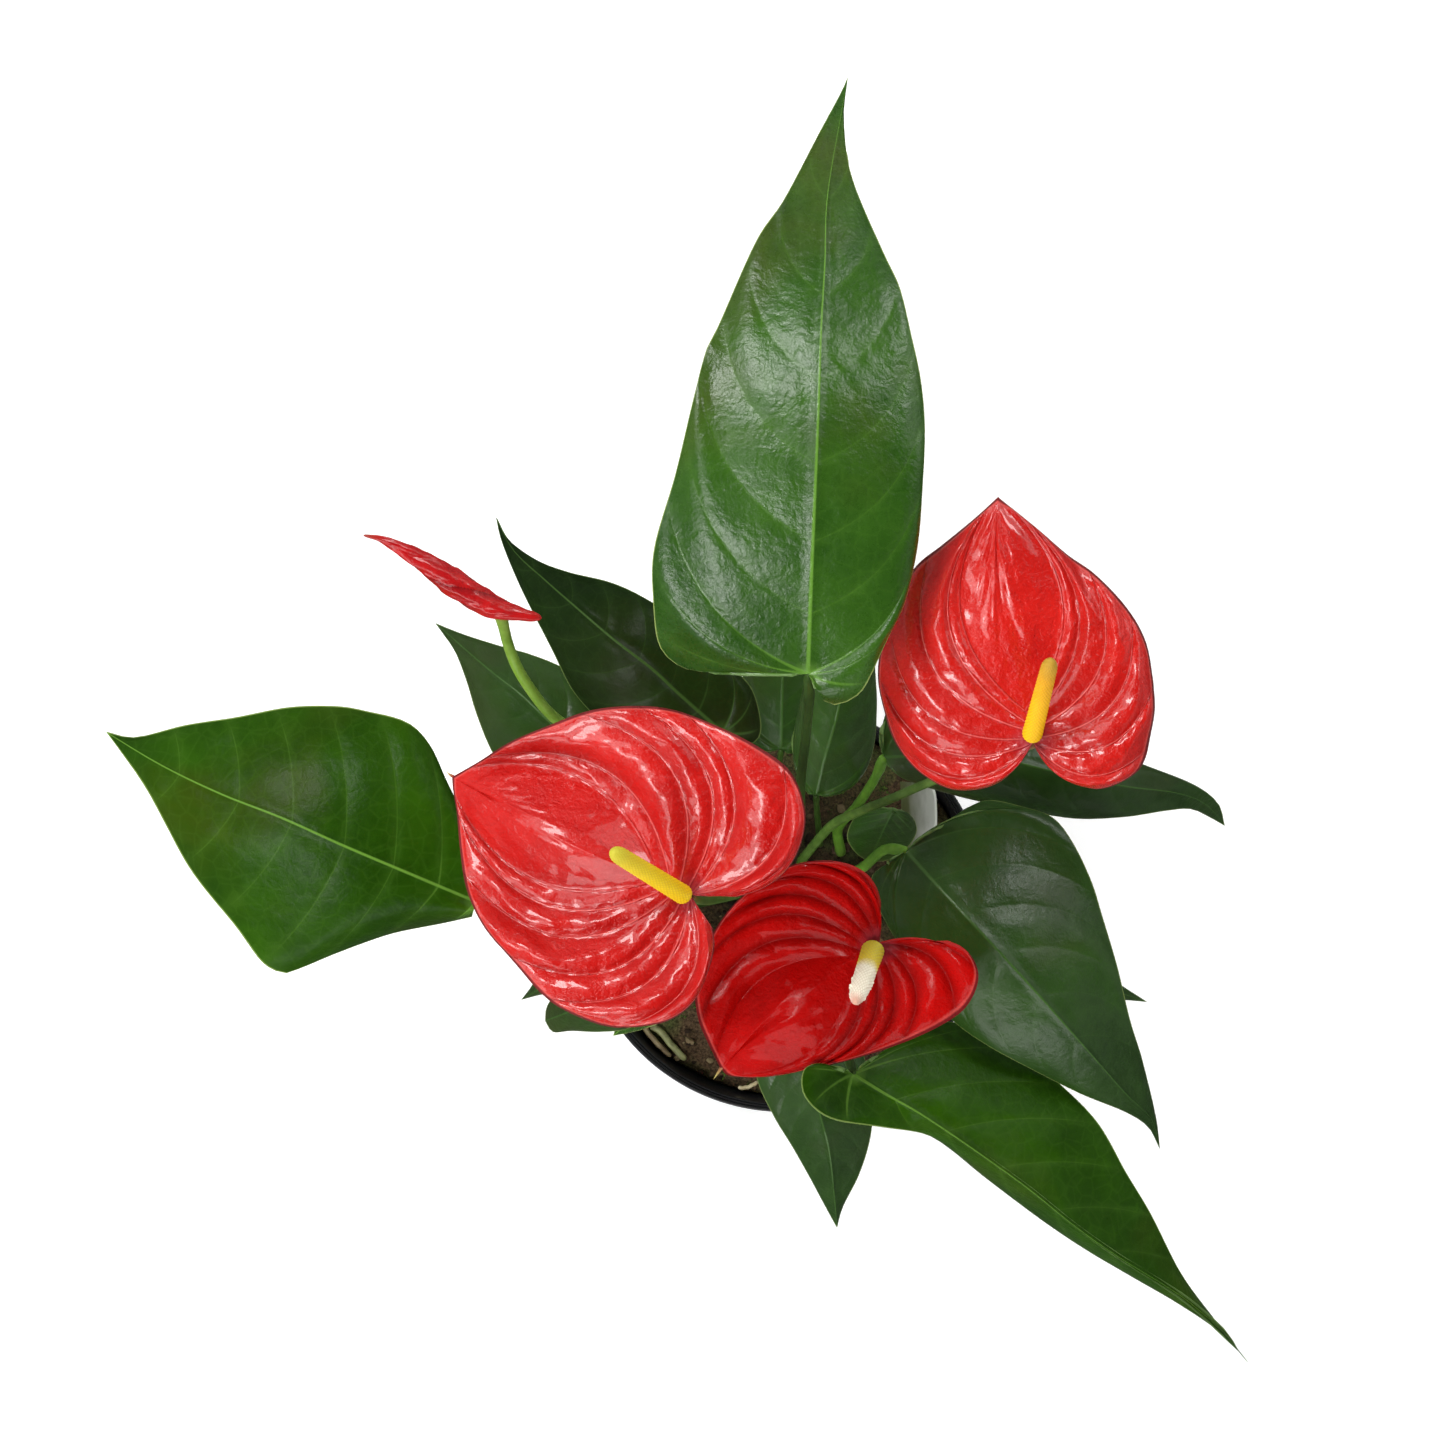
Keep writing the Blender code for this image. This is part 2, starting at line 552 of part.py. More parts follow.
        "joint": (893, 811, 166), "base": (23, 12.5), "veins": 4, "waves": 1, "wave": 0.3,
        "bow": 0, "quilt": 0.2,
        "rib": [(886, 825, 162), (880, 838, 154), (874, 850, 143)],
        "tip": (868, 862, 130),
        "left": [(908, 812, 162), (915, 821, 158), (916, 834, 154), (905, 850, 146), (888, 860, 137)],
        "right": [(872, 806, 163), (859, 813, 158), (851, 823, 154), (847, 838, 150), (855, 852, 141)],
        "stalk": [(905, 830, 120)],
        "stalk_radius": (1.3, 0.9),
    },
}

# The open blooms, laid out as the leaves are, with a spike that stands on each spathe
BLOOMS = {
    "left": {
        "joint": (690, 895, 300), "base": (-4, 7), "tip": (452, 777, 286),
        "veins": 9, "quilt": 1.6, "arch": 3,
        "rib": [(649, 875, 303), (595, 855, 305), (544, 831, 303), (503, 805, 297)],
        "basal": (0.42, 0.42), "bow": 0.17,
        "wave": 0.8, "waves": 4,
        "left": [(713, 930, 303), (714, 950, 304), (704, 983, 306), (690, 1006, 306), (670, 1020, 306),
                 (646, 1026, 306), (610, 1027, 305), (576, 1016, 304), (545, 997, 303),
                 (513, 961, 301), (484, 927, 299), (467, 891, 296), (460, 850, 293), (457, 815, 290),
                 (453, 790, 287)],
        "right": [(738, 897, 303), (762, 889, 305), (781, 876, 307), (795, 858, 308), (804, 833, 309),
                  (805, 809, 310), (797, 783, 310), (783, 764, 310), (750, 742, 309), (710, 723, 308),
                  (670, 709, 307), (630, 706, 306), (588, 711, 305), (545, 727, 302), (510, 742, 298),
                  (478, 762, 291)],
        "stalk": [(710, 900, 200)],
        "stalk_radius": (2.0, 1.6),
        "spadix_foot": (684, 895, 302.5), "spadix_tip": (612, 851, 327), "spadix_radius": (2.4, 2.0),
    },
    "right": {
        "joint": (1033, 743, 285), "base": (5, 11), "tip": (998, 497, 292),
        "veins": 9, "quilt": 1.6, "arch": 3,
        "rib": [(1020, 690, 287), (1005, 627, 290), (999, 580, 292), (996, 532, 293)],
        "basal": (0.42, 0.42), "bow": 0.17,
        "wave": 0.8, "waves": 4,
        "left": [(1020, 764, 283), (1003, 780, 281), (981, 789, 280), (950, 789, 279), (923, 775, 278),
                 (905, 757, 277), (892, 736, 276), (884, 710, 276), (878, 680, 276), (880, 650, 277),
                 (888, 620, 279), (900, 590, 281), (918, 564, 284), (942, 545, 287), (975, 518, 291)],
        "right": [(1046, 762, 284), (1068, 780, 284), (1097, 789, 284), (1124, 781, 285),
                  (1143, 764, 285), (1152, 729, 286), (1155, 705, 287), (1152, 671, 288),
                  (1146, 642, 289), (1134, 618, 290), (1118, 597, 290), (1094, 573, 291),
                  (1068, 555, 291), (1038, 529, 292)],
        "stalk": [(801, 862, 107), (809, 851, 126), (832, 825, 165), (856, 813, 190), (893, 798, 222),
                  (930, 782, 242), (985, 762, 261), (1020, 750, 273)],
        "stalk_radius": (2.0, 1.5),
        "spadix_foot": (1032, 735, 286.8), "spadix_tip": (1051, 660, 316), "spadix_radius": (2.5, 1.9),
    },
    "front": {
        "joint": (879, 944, 243), "base": (11, 5), "tip": (722, 1067, 222),
        "veins": 8, "quilt": 1.5, "arch": 3,
        "rib": [(848, 962, 243), (802, 997, 240), (762, 1028, 233)],
        "basal": (0.45, 0.45), "bow": 0.17, "wave": 0.8,
        "waves": 4,
        "left": [(881, 903, 246), (876, 887, 248), (865, 873, 249), (847, 864, 250), (823, 861, 250),
                 (790, 866, 249), (755, 885, 247), (725, 915, 245), (705, 950, 242), (695, 985, 238),
                 (698, 1018, 233), (708, 1043, 228)],
        "right": [(950, 942, 248), (964, 949, 249), (975, 962, 250), (978, 982, 248), (966, 1007, 244),
                  (940, 1026, 240), (900, 1044, 235), (850, 1060, 230), (805, 1070, 226),
                  (765, 1076, 223), (738, 1076, 222)],
        "stalk": [(868, 935, 190)],
        "stalk_radius": (2.0, 1.6),
        "spadix_foot": (873, 950, 244.3), "spadix_tip": (855, 1003, 266), "spadix_radius": (2.9, 2.6),
    },
}

# The bud on its arched stem
BUD = {
    "base": (-9, 25), "joint": (501, 614, 270.6),
    "stalk": [(720, 800, 172), (690, 783, 195), (655, 765, 212), (600, 741, 230), (556, 719, 241),
              (525, 681, 253), (510, 650, 260)],
    "stalk_radius": (2.0, 1.5),
    "axis": [(363, 535, 289), (385, 540, 287), (418, 558, 283), (455, 583, 278), (490, 606, 274.5),
             (520, 614, 272.5), (542, 618, 271.5)],
    "radii": [0.3, 1.2, 2.6, 3.7, 3.2, 1.8, 0.6],
}

# Roots that lie on the soil: plan points, radius in millimetres
ROOTS = {
    "root_olive": ([(650, 1027, 95.8), (660, 1031, 96.5), (669, 1042, 96.6), (678, 1052, 96.3),
                    (686, 1060, 95.6)], 1.0),
    "root_tan": ([(643, 1026, 95.3), (649, 1034, 96.2), (656, 1042, 96.4), (664, 1050, 96.2),
                  (671, 1057, 95.2)], 0.8),
    "root_pale": ([(738, 1088, 95.4), (748, 1087, 96.2), (758, 1082, 95.9)], 0.6),
}

# The bare stick-in tag, which stands in the soil by the rim
TAG_FOOT = (31, 24)
TAG_LEAN = 11.5 * MM
TAG_WIDTH = 15 * MM
TAG_THICKNESS = 0.8 * MM
TAG_LOW = SOIL_TOP - 18 * MM
TAG_HIGH = SOIL_TOP + 32 * MM
TAG_STEPS = 4


def build_tag(name, grow, finish=None):
    """The tag as a leaning strip, or with grow the cutter for its slot."""
    bm = bmesh.new()
    bmesh.ops.create_grid(bm, x_segments=1, y_segments=TAG_STEPS, size=0.5)
    low = TAG_LOW - grow
    tall = TAG_HIGH + grow - low
    for vert in bm.verts:
        share = vert.co.y + 0.5
        near_face = TAG_FOOT[0] * MM + TAG_LEAN * share ** 1.1 - TAG_THICKNESS / 2 - grow
        sideways = TAG_FOOT[1] * MM + vert.co.x * (TAG_WIDTH + 2 * grow)
        vert.co = (near_face, sideways, low + tall * share)
    far = bmesh.ops.extrude_face_region(bm, geom=bm.faces[:], use_keep_orig=True)
    for vert in far["geom"]:
        if isinstance(vert, bmesh.types.BMVert):
            vert.co.x += TAG_THICKNESS + 2 * grow
    bmesh.ops.recalc_face_normals(bm, faces=bm.faces)
    return object_from(name, bm, finish)


def build_roots(cutters):
    """The roots on the soil, each with the cutter for its bed."""
    shape = (0.4, 0.85, 1, 1, 1, 0.85, 0.4)
    for name, (points, radius) in ROOTS.items():
        line = smooth_line([spot(point) for point in points])
        route = [Vector(line(number / (len(shape) - 1))) for number in range(len(shape))]
        tube(name, route, [radius * MM * part for part in shape], finish=ROOT)
        first = route[0] + (route[0] - route[1]).normalized() * 2 * GAP
        last = route[-1] + (route[-1] - route[-2]).normalized() * 2 * GAP
        bed = [first] + route[1:-1] + [last]
        cutters.append(tube(name + "_bed", bed, [radius * MM * part + 1.5 * GAP for part in shape]))


def build_all():
    build_pot()
    cutters = []
    stems = list(LEAVES.values()) + list(BLOOMS.values()) + [BUD]
    for stem in stems:
        foot = stem["stalk_radius"][0] * MM
        cutters.append(stem_hole("hole", stem["base"], (foot + GAP) / math.cos(math.pi / STEM_SIDES / 2)))
    cutters.append(build_tag("slot", GAP))
    build_roots(cutters)
    build_soil(cutters)
    build_tag("plant_tag", 0, WHITE)
    for name, leaf in LEAVES.items():
        build_leaf(name, leaf)
    for name, bloom in BLOOMS.items():
        build_peduncle("stem_" + name, bloom, BLOOM_DROP)
        build_spathe("spathe_" + name, bloom)
        build_spadix("spadix_" + name, bloom)
    build_peduncle("stem_bud", BUD, GAP)
    build_bud("spathe_bud", BUD)


build_all()
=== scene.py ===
"""A potted anthurium, dressed over its solids: pot, peat, tag, leaves, stems, red spathes and spikes."""
import math
import random

import bmesh
import bpy
import numpy as np
from mathutils import Matrix, Vector, noise


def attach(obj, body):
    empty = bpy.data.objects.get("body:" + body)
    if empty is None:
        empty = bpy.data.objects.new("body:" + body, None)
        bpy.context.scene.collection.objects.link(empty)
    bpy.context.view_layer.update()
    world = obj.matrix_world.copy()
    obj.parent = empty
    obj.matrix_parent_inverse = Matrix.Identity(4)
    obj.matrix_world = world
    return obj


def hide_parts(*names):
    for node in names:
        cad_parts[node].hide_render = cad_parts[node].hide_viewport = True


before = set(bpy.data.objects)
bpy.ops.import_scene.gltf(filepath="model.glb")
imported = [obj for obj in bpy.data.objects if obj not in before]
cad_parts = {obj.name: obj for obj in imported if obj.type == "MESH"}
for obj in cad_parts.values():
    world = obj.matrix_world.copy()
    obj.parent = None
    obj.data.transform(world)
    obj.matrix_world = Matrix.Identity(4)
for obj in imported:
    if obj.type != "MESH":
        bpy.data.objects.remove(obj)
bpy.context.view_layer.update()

# The pot: a thin black nursery pot of moulded plastic. Its rim is rolled over and carries fine beads,
# its floor has a ring of drain holes.
MM = 0.001
POT_HEIGHT = 100 * MM
RIM_RADIUS = 60 * MM
RIM_DEPTH = 9 * MM
RIM_INSIDE = 57.2 * MM
BASE_RADIUS = 43 * MM
POT_WALL = 1.3 * MM
POT_FLOOR = 2 * MM
POT_STEPS = 180
DRAIN_HOLES = 8
DRAIN_RING = 33 * MM
DRAIN_RADIUS = 4 * MM


def operator(operation, swapped=False):
    """What Wire does for one of Python's operators."""
    def combine(self, other):
        return self.sum(operation, *((other, self) if swapped else (self, other)))

    return combine


class Wire:
    """One socket of a finish, so that its maths is written as a plain expression."""

    __add__, __radd__ = operator("ADD"), operator("ADD", True)
    __sub__, __rsub__ = operator("SUBTRACT"), operator("SUBTRACT", True)
    __mul__, __rmul__ = operator("MULTIPLY"), operator("MULTIPLY", True)
    __truediv__ = operator("DIVIDE")

    def __init__(self, finish, socket):
        self.finish, self.socket = finish, socket

    def sum(self, operation, *values):
        return self.finish.node("ShaderNodeMath", {"operation": operation}, dict(enumerate(values)))

    def __abs__(self):
        return self.sum("ABSOLUTE", self)

    def ramp(self, low, high, start=0.0, end=1.0):
        """start below low, end above high, and an even rise between them."""
        return self.finish.node("ShaderNodeMapRange", {"clamp": True},
                                {0: self, 1: low, 2: high, 3: start, 4: end})


class Finish:
    """A procedural material while it is mixed."""

    def __init__(self, name, roughness=0.5, **constants):
        self.material = bpy.data.materials.new(name)
        self.material.use_nodes = True
        self.tree = self.material.node_tree
        self.shader = self.tree.nodes["Principled BSDF"]
        self.set("Roughness", roughness)
        for socket, value in constants.items():
            self.set(socket.replace("_", " "), value)

    def feed(self, socket, value):
        if isinstance(value, Wire):
            self.tree.links.new(value.socket, socket)
        elif isinstance(value, tuple) and len(value) == 3 and len(socket.default_value) == 4:
            socket.default_value = (*value, 1)
        else:
            socket.default_value = value

    def set(self, socket, value):
        self.feed(self.shader.inputs[socket], value)

    def node(self, kind, settings=None, sockets=None, output=0):
        """Any node: its settings first, then the values or links of its sockets."""
        node = self.tree.nodes.new(kind)
        for name, value in (settings or {}).items():
            if name == "stops":
                ramp = node.color_ramp
                while len(ramp.elements) < len(value):
                    ramp.elements.new(0.5)
                for element, (place, colour) in zip(ramp.elements, value):
                    element.position = place
                    element.color = (*colour, 1)
            else:
                setattr(node, name, value)
        for key, value in (sockets or {}).items():
            self.feed(node.inputs[key], value)
        return Wire(self, node.outputs[output])

    def own(self, attribute):
        """A value that the piece carries on its own surface."""
        return self.node("ShaderNodeAttribute", {"attribute_name": attribute}, output=2)

    def place(self):
        return self.node("ShaderNodeTexCoord", output=3)

    def cloud(self, scale, detail=3.0, roughness=0.5, distortion=0.0):
        return self.node("ShaderNodeTexNoise", {}, {"Vector": self.place(), "Scale": scale, "Detail": detail,
                                                    "Roughness": roughness, "Distortion": distortion})

    def cells(self, scale, feature="F1"):
        return self.node("ShaderNodeTexVoronoi", {"feature": feature},
                         {"Vector": self.place(), "Scale": scale})

    def mix(self, share, one, other):
        return self.node("ShaderNodeMix", {"data_type": "RGBA"}, {0: share, 6: one, 7: other}, output=2)

    def bands(self, stops, at):
        """Colours that run into each other from stop to stop."""
        return self.node("ShaderNodeValToRGB", {"stops": stops}, {0: at})

    def over(self, colour, *coats):
        """The colour below its coats, each of them a share and a colour."""
        for share, coat in coats:
            colour = self.mix(share, colour, coat)
        return colour

    def bumps(self, *layers):
        """Bumps over each other, each of them a height, its depth in metres and its strength."""
        lower = {}
        for height, depth, strength in layers:
            sockets = {"Strength": strength, "Distance": depth, "Height": height, **lower}
            lower = {"Normal": self.node("ShaderNodeBump", {}, sockets)}
        self.set("Normal", lower["Normal"])


def linked(name, data):
    """A new thing in the scene, made of a mesh, a lamp or a camera."""
    thing = bpy.data.objects.new(name, data)
    bpy.context.scene.collection.objects.link(thing)
    return thing


def mesh_from(name, bm):
    mesh = bpy.data.meshes.new(name)
    bm.to_mesh(mesh)
    bm.free()
    return mesh


def piece_from(name, bm, finish, smooth_angle, replaces=()):
    """The finished piece of a bmesh, riding on the root body."""
    mesh = mesh_from(name, bm)
    mesh.shade_smooth()
    mesh.set_sharp_from_angle(angle=math.radians(smooth_angle))
    mesh.materials.append(finish.material)
    piece = linked(name, mesh)
    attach(piece, "root")
    if replaces:
        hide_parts(*replaces)
    return piece


def bead(middle, top, width, height, points=6):
    """Profile points over a small round bead on the rim's top."""
    shares = [number / (points - 1) for number in range(points)]
    return [(middle + width / 2 * math.cos(math.pi * share), top + height * math.sin(math.pi * share))
            for share in shares]


def turned(profile, steps):
    """A bmesh turned round the pot's axis from a profile of (radius, height)."""
    bm = bmesh.new()
    verts = [bm.verts.new((radius, 0, height)) for radius, height in profile]
    edges = [bm.edges.new(pair) for pair in zip(verts, verts[1:])]
    bmesh.ops.spin(bm, geom=verts + edges, cent=(0, 0, 0), axis=(0, 0, 1), angle=math.tau, steps=steps,
                   use_merge=True)
    bmesh.ops.remove_doubles(bm, verts=bm.verts, dist=0.005 * MM)
    return bm


black_plastic = Finish("black_plastic", roughness=0.32, Specular_IOR_Level=0.4)
grain = black_plastic.cloud(900, 2)
scuffs = black_plastic.cloud(55, 4, 0.6)
black_plastic.set("Base Color", black_plastic.mix(scuffs.ramp(0.35, 0.75), (0.009, 0.009, 0.010),
                                                  (0.016, 0.016, 0.018)))
black_plastic.set("Roughness", scuffs.ramp(0.3, 0.7, 0.27, 0.34))
black_plastic.bumps((grain, 0.06 * MM, 0.6))

# The profile runs from the hollow underside over the foot ring, up the wall, over the rim with its three
# beads and down the inside to the floor.
slope = (RIM_INSIDE - BASE_RADIUS) / POT_HEIGHT
under = POT_HEIGHT - RIM_DEPTH
top = POT_HEIGHT - 0.45 * MM
profile = [(0, 0.4 * MM), (BASE_RADIUS - 3.2 * MM, 0.4 * MM), (BASE_RADIUS - 2.6 * MM, 0),
           (BASE_RADIUS - 0.8 * MM, 0), (BASE_RADIUS - 0.2 * MM, 0.3 * MM), (BASE_RADIUS, 1 * MM)]
for level in (8, 30, 52, 74, 84):
    profile.append((BASE_RADIUS + slope * level * MM, level * MM))
profile += [(BASE_RADIUS + slope * under - 0.1 * MM, under - 1.5 * MM),
            (BASE_RADIUS + slope * under + 0.6 * MM, under - 0.2 * MM), (RIM_RADIUS - 0.7 * MM, under),
            (RIM_RADIUS - 0.15 * MM, under + 0.3 * MM), (RIM_RADIUS, under + 1 * MM),
            (RIM_RADIUS, POT_HEIGHT - 1.3 * MM), (RIM_RADIUS - 0.1 * MM, POT_HEIGHT - 0.8 * MM)]
profile += bead(RIM_RADIUS - 0.62 * MM, top, 0.9 * MM, 0.45 * MM)
profile += bead(RIM_RADIUS - 1.5 * MM, top - 0.25 * MM, 0.6 * MM, 0.4 * MM)
profile += bead(RIM_RADIUS - 2.3 * MM, top - 0.4 * MM, 0.6 * MM, 0.5 * MM)
profile += [(RIM_INSIDE - 0.1 * MM, POT_HEIGHT - 1.6 * MM)]
for depth in (4, 8, 20, 45, 70, 96):
    profile.append((RIM_INSIDE - 0.1 * MM - 0.156 * depth * MM, POT_HEIGHT - 1.6 * MM - depth * MM))
profile += [(BASE_RADIUS - POT_WALL - 0.5 * MM, POT_FLOOR), (0, POT_FLOOR)]
bm = turned(profile, POT_STEPS)
bmesh.ops.recalc_face_normals(bm, faces=bm.faces)
pot = piece_from("nursery_pot", bm, black_plastic, 30, ["pot"])
drill = bmesh.new()
for number in range(DRAIN_HOLES):
    angle = math.tau * (number + 0.5) / DRAIN_HOLES
    hole_there = Matrix.Translation((DRAIN_RING * math.cos(angle), DRAIN_RING * math.sin(angle), 0))
    bmesh.ops.create_cone(drill, cap_ends=True, segments=32, radius1=DRAIN_RADIUS, radius2=DRAIN_RADIUS,
                          depth=POT_FLOOR * 4, matrix=hole_there)
drill_thing = linked("drill", mesh_from("drill", drill))
holes = pot.modifiers.new("holes", "BOOLEAN")
holes.operation = "DIFFERENCE"
holes.solver = "EXACT"
holes.object = drill_thing
graph = bpy.context.evaluated_depsgraph_get()
drilled = bpy.data.meshes.new_from_object(pot.evaluated_get(graph))
pot.modifiers.clear()
pot.data = drilled
bpy.data.objects.remove(drill_thing, do_unlink=True)

# The root ball: damp peat pressed into the pot, crumbly on top, with green algae and moss where light
# reaches it and bits of bark and fibre on it.
SOIL_TOP = 95 * MM
SOIL_RADIUS = 55.4 * MM
SOIL_EDGE = 6 * MM
CROWN_REACH = 25 * MM
CRUMBS = 620
TUFTS = 420
TUFT_LEAVES = 4
ANY_TURN = 6.3
random.seed(11)


def soil_height(x, y):
    """How high the peat stands at a place."""
    reach = math.hypot(x, y)
    at = Vector((x, y, 0))
    calm = 0.35 + 0.65 * min(1, reach / CROWN_REACH)
    lumps = 1.7 * noise.noise(at * 70) + 1.3 * noise.noise(at * 210) + 0.8 * abs(noise.noise(at * 520))
    edge = max(0, (reach - SOIL_RADIUS + SOIL_EDGE) / SOIL_EDGE)
    return SOIL_TOP + calm * lumps * MM - 2.2 * MM * edge ** 2


def shade_painted_by_the_stems(finish, colour):
    """Painted shade: what lies on the peat is painted darker among the stems, where the leaves shade it, and
    keeps its own colour towards the rim.
    """
    stems = (4 * MM, 10 * MM, SOIL_TOP)
    away = finish.node("ShaderNodeVectorMath", {"operation": "DISTANCE"}, {0: finish.place(), 1: stems},
                       output=1)
    return finish.mix(away.ramp(15 * MM, 42 * MM, 0.6, 0), colour, (0.010, 0.007, 0.004))


peat = Finish("damp_peat", roughness=0.9, Specular_IOR_Level=0.12)
crumbs = peat.cells(700)
fine = peat.cloud(1400, 6, 0.7)
patches = peat.cloud(38, 4, 0.6)
browns = peat.mix(fine.ramp(0.35, 0.68), (0.016, 0.010, 0.005), (0.15, 0.095, 0.052))
specks = peat.cells(380)
browns = peat.mix(specks.ramp(0.05, 0.16, 0.8, 0), browns, (0.17, 0.115, 0.062))
green = peat.mix(fine.ramp(0.35, 0.7), (0.014, 0.026, 0.006), (0.11, 0.15, 0.04))
# The peat gets painted shade among the stems.
peat.set("Base Color", shade_painted_by_the_stems(peat, peat.mix(patches.ramp(0.47, 0.62, 0, 0.85), browns, green)))
peat.set("Roughness", fine.ramp(0.3, 0.7, 0.72, 1.0))
peat.bumps((fine + crumbs, 0.7 * MM, 0.9))

wall = [(0, POT_FLOOR + 0.3 * MM), (40.5 * MM, POT_FLOOR + 0.3 * MM), (53 * MM, 88 * MM),
        (SOIL_RADIUS - 0.4 * MM, SOIL_TOP - 3.5 * MM)]
rings = 68
wall += [(SOIL_RADIUS * (1 - number / rings), SOIL_TOP) for number in range(rings + 1)]
bm = turned(wall, 200)
for vert in bm.verts:
    if vert.co.z > SOIL_TOP - 0.1 * MM:
        vert.co.z = soil_height(vert.co.x, vert.co.y)
bmesh.ops.recalc_face_normals(bm, faces=bm.faces)
piece_from("peat", bm, peat, 180, ["soil"])

bark = Finish("bark_bits", roughness=0.85, Specular_IOR_Level=0.15)
bark_colour = bark.bands([(0, (0.010, 0.006, 0.004)), (0.45, (0.045, 0.027, 0.015)),
                          (0.8, (0.12, 0.08, 0.045)), (1, (0.22, 0.17, 0.09))], bark.own("tone"))
# The bark bits get painted shade among the stems.
bark.set("Base Color", shade_painted_by_the_stems(bark, bark_colour))
bark.bumps((bark.cloud(1500, 3), 0.3 * MM, 0.8))
bm = bmesh.new()
tones = bm.verts.layers.float.new("tone")
for number in range(CRUMBS):
    reach = SOIL_RADIUS * 0.985 * math.sqrt(random.random())
    angle = random.uniform(0, math.tau)
    x, y = reach * math.cos(angle), reach * math.sin(angle)
    size = random.choice((0.5, 0.7, 0.9, 1.2, 1.7)) * MM
    shape = Matrix.Diagonal((size, size * random.uniform(0.5, 1), size * random.uniform(0.35, 0.7), 1))
    turn = Matrix.Rotation(random.uniform(0, ANY_TURN), 4, "Z")
    turn @= Matrix.Rotation(random.uniform(-0.5, 0.5), 4, "X")
    there = Matrix.Translation((x, y, soil_height(x, y) + 0.1 * size))
    grown = bmesh.ops.create_icosphere(bm, subdivisions=1, radius=1, matrix=there @ turn @ shape)["verts"]
    shade = random.random() ** 1.6
    for vert in grown:
        vert[tones] = shade
        jag = Vector([random.uniform(-1, 1) for axis in range(3)])
        vert.co += jag * 0.16 * size
piece_from("bark_and_crumbs", bm, bark, 20)

moss_green = Finish("moss", roughness=0.8, Specular_IOR_Level=0.15)
moss_tone = moss_green.cloud(500, 3)
moss_colour = moss_green.mix(moss_tone.ramp(0.35, 0.7), (0.022, 0.045, 0.008), (0.12, 0.19, 0.035))
# The moss gets painted shade among the stems.
moss_green.set("Base Color", shade_painted_by_the_stems(moss_green, moss_colour))
bm = bmesh.new()
for number in range(TUFTS):
    angle = random.uniform(0, math.tau)
    reach = SOIL_RADIUS * (0.35 + 0.62 * math.sqrt(random.random()))
    x, y = reach * math.cos(angle), reach * math.sin(angle)
    if noise.noise(Vector((x, y, 0.3)) * 45) < 0.02:
        continue
    for leaflet in range(TUFT_LEAVES):
        lean = Matrix.Rotation(random.uniform(0, ANY_TURN), 4, "Z")
        lean @= Matrix.Rotation(random.uniform(0.2, 0.9), 4, "X")
        there = Matrix.Translation((x + random.uniform(-1, 1) * MM, y + random.uniform(-1, 1) * MM,
                                    soil_height(x, y) - 0.1 * MM))
        tall = random.uniform(0.7, 1.5) * MM
        bmesh.ops.create_cone(bm, cap_ends=True, segments=4, radius1=0.28 * MM, radius2=0.03 * MM, depth=tall,
                              matrix=there @ lean @ Matrix.Translation((0, 0, tall * 0.4)))
piece_from("moss_tufts", bm, moss_green, 20)

# The roots: three fleshy roots that have grown out of the peat and lie on it by the rim. Each is laid
# out in plan, as seen from straight above: (right, down) in pixels of that view, height in millimetres.
PLAN_WIDTH = 1445
PLAN_CENTRE = PLAN_WIDTH / 2
PLAN_POT = (784, 908)
PLAN_RIM = 204.5
EYE_HEIGHT = 1150 * MM
RIM_PIXEL = RIM_RADIUS / PLAN_RIM
EYE = Vector(((PLAN_CENTRE - PLAN_POT[0]) * RIM_PIXEL, (PLAN_POT[1] - PLAN_CENTRE) * RIM_PIXEL, EYE_HEIGHT))


def spots(plan):
    """The places in metres of an array of plan points."""
    plan = np.asarray(plan, dtype=float)
    z = plan[..., 2] * MM
    pixel = RIM_PIXEL * (EYE.z - z) / (EYE.z - POT_HEIGHT)
    return np.stack([EYE.x + (plan[..., 0] - PLAN_CENTRE) * pixel,
                     EYE.y - (plan[..., 1] - PLAN_CENTRE) * pixel, z], axis=-1)


def smooth_line(points, steps=16):
    """A smooth curve through the points, as a function of shares of its length."""
    knots = np.array([tuple(point) for point in points], dtype=float)
    ends = np.vstack([2 * knots[0] - knots[1], knots, 2 * knots[-1] - knots[-2]])
    dense = []
    for a, b, c, d in zip(ends, ends[1:], ends[2:], ends[3:]):
        cubic = 3 * b - 3 * c + d - a
        square = 2 * a - 5 * b + 4 * c - d
        for t in np.linspace(0, 1, steps, endpoint=False):
            dense.append(b + 0.5 * t * (c - a + t * (square + t * cubic)))
    dense = np.array(dense + [knots[-1]])
    length = np.concatenate([[0], np.cumsum(np.linalg.norm(np.diff(dense, axis=0), axis=1))])

    def at(share):
        return np.stack([np.interp(share * length[-1], length, dense[:, axis]) for axis in range(3)], axis=-1)

    return at


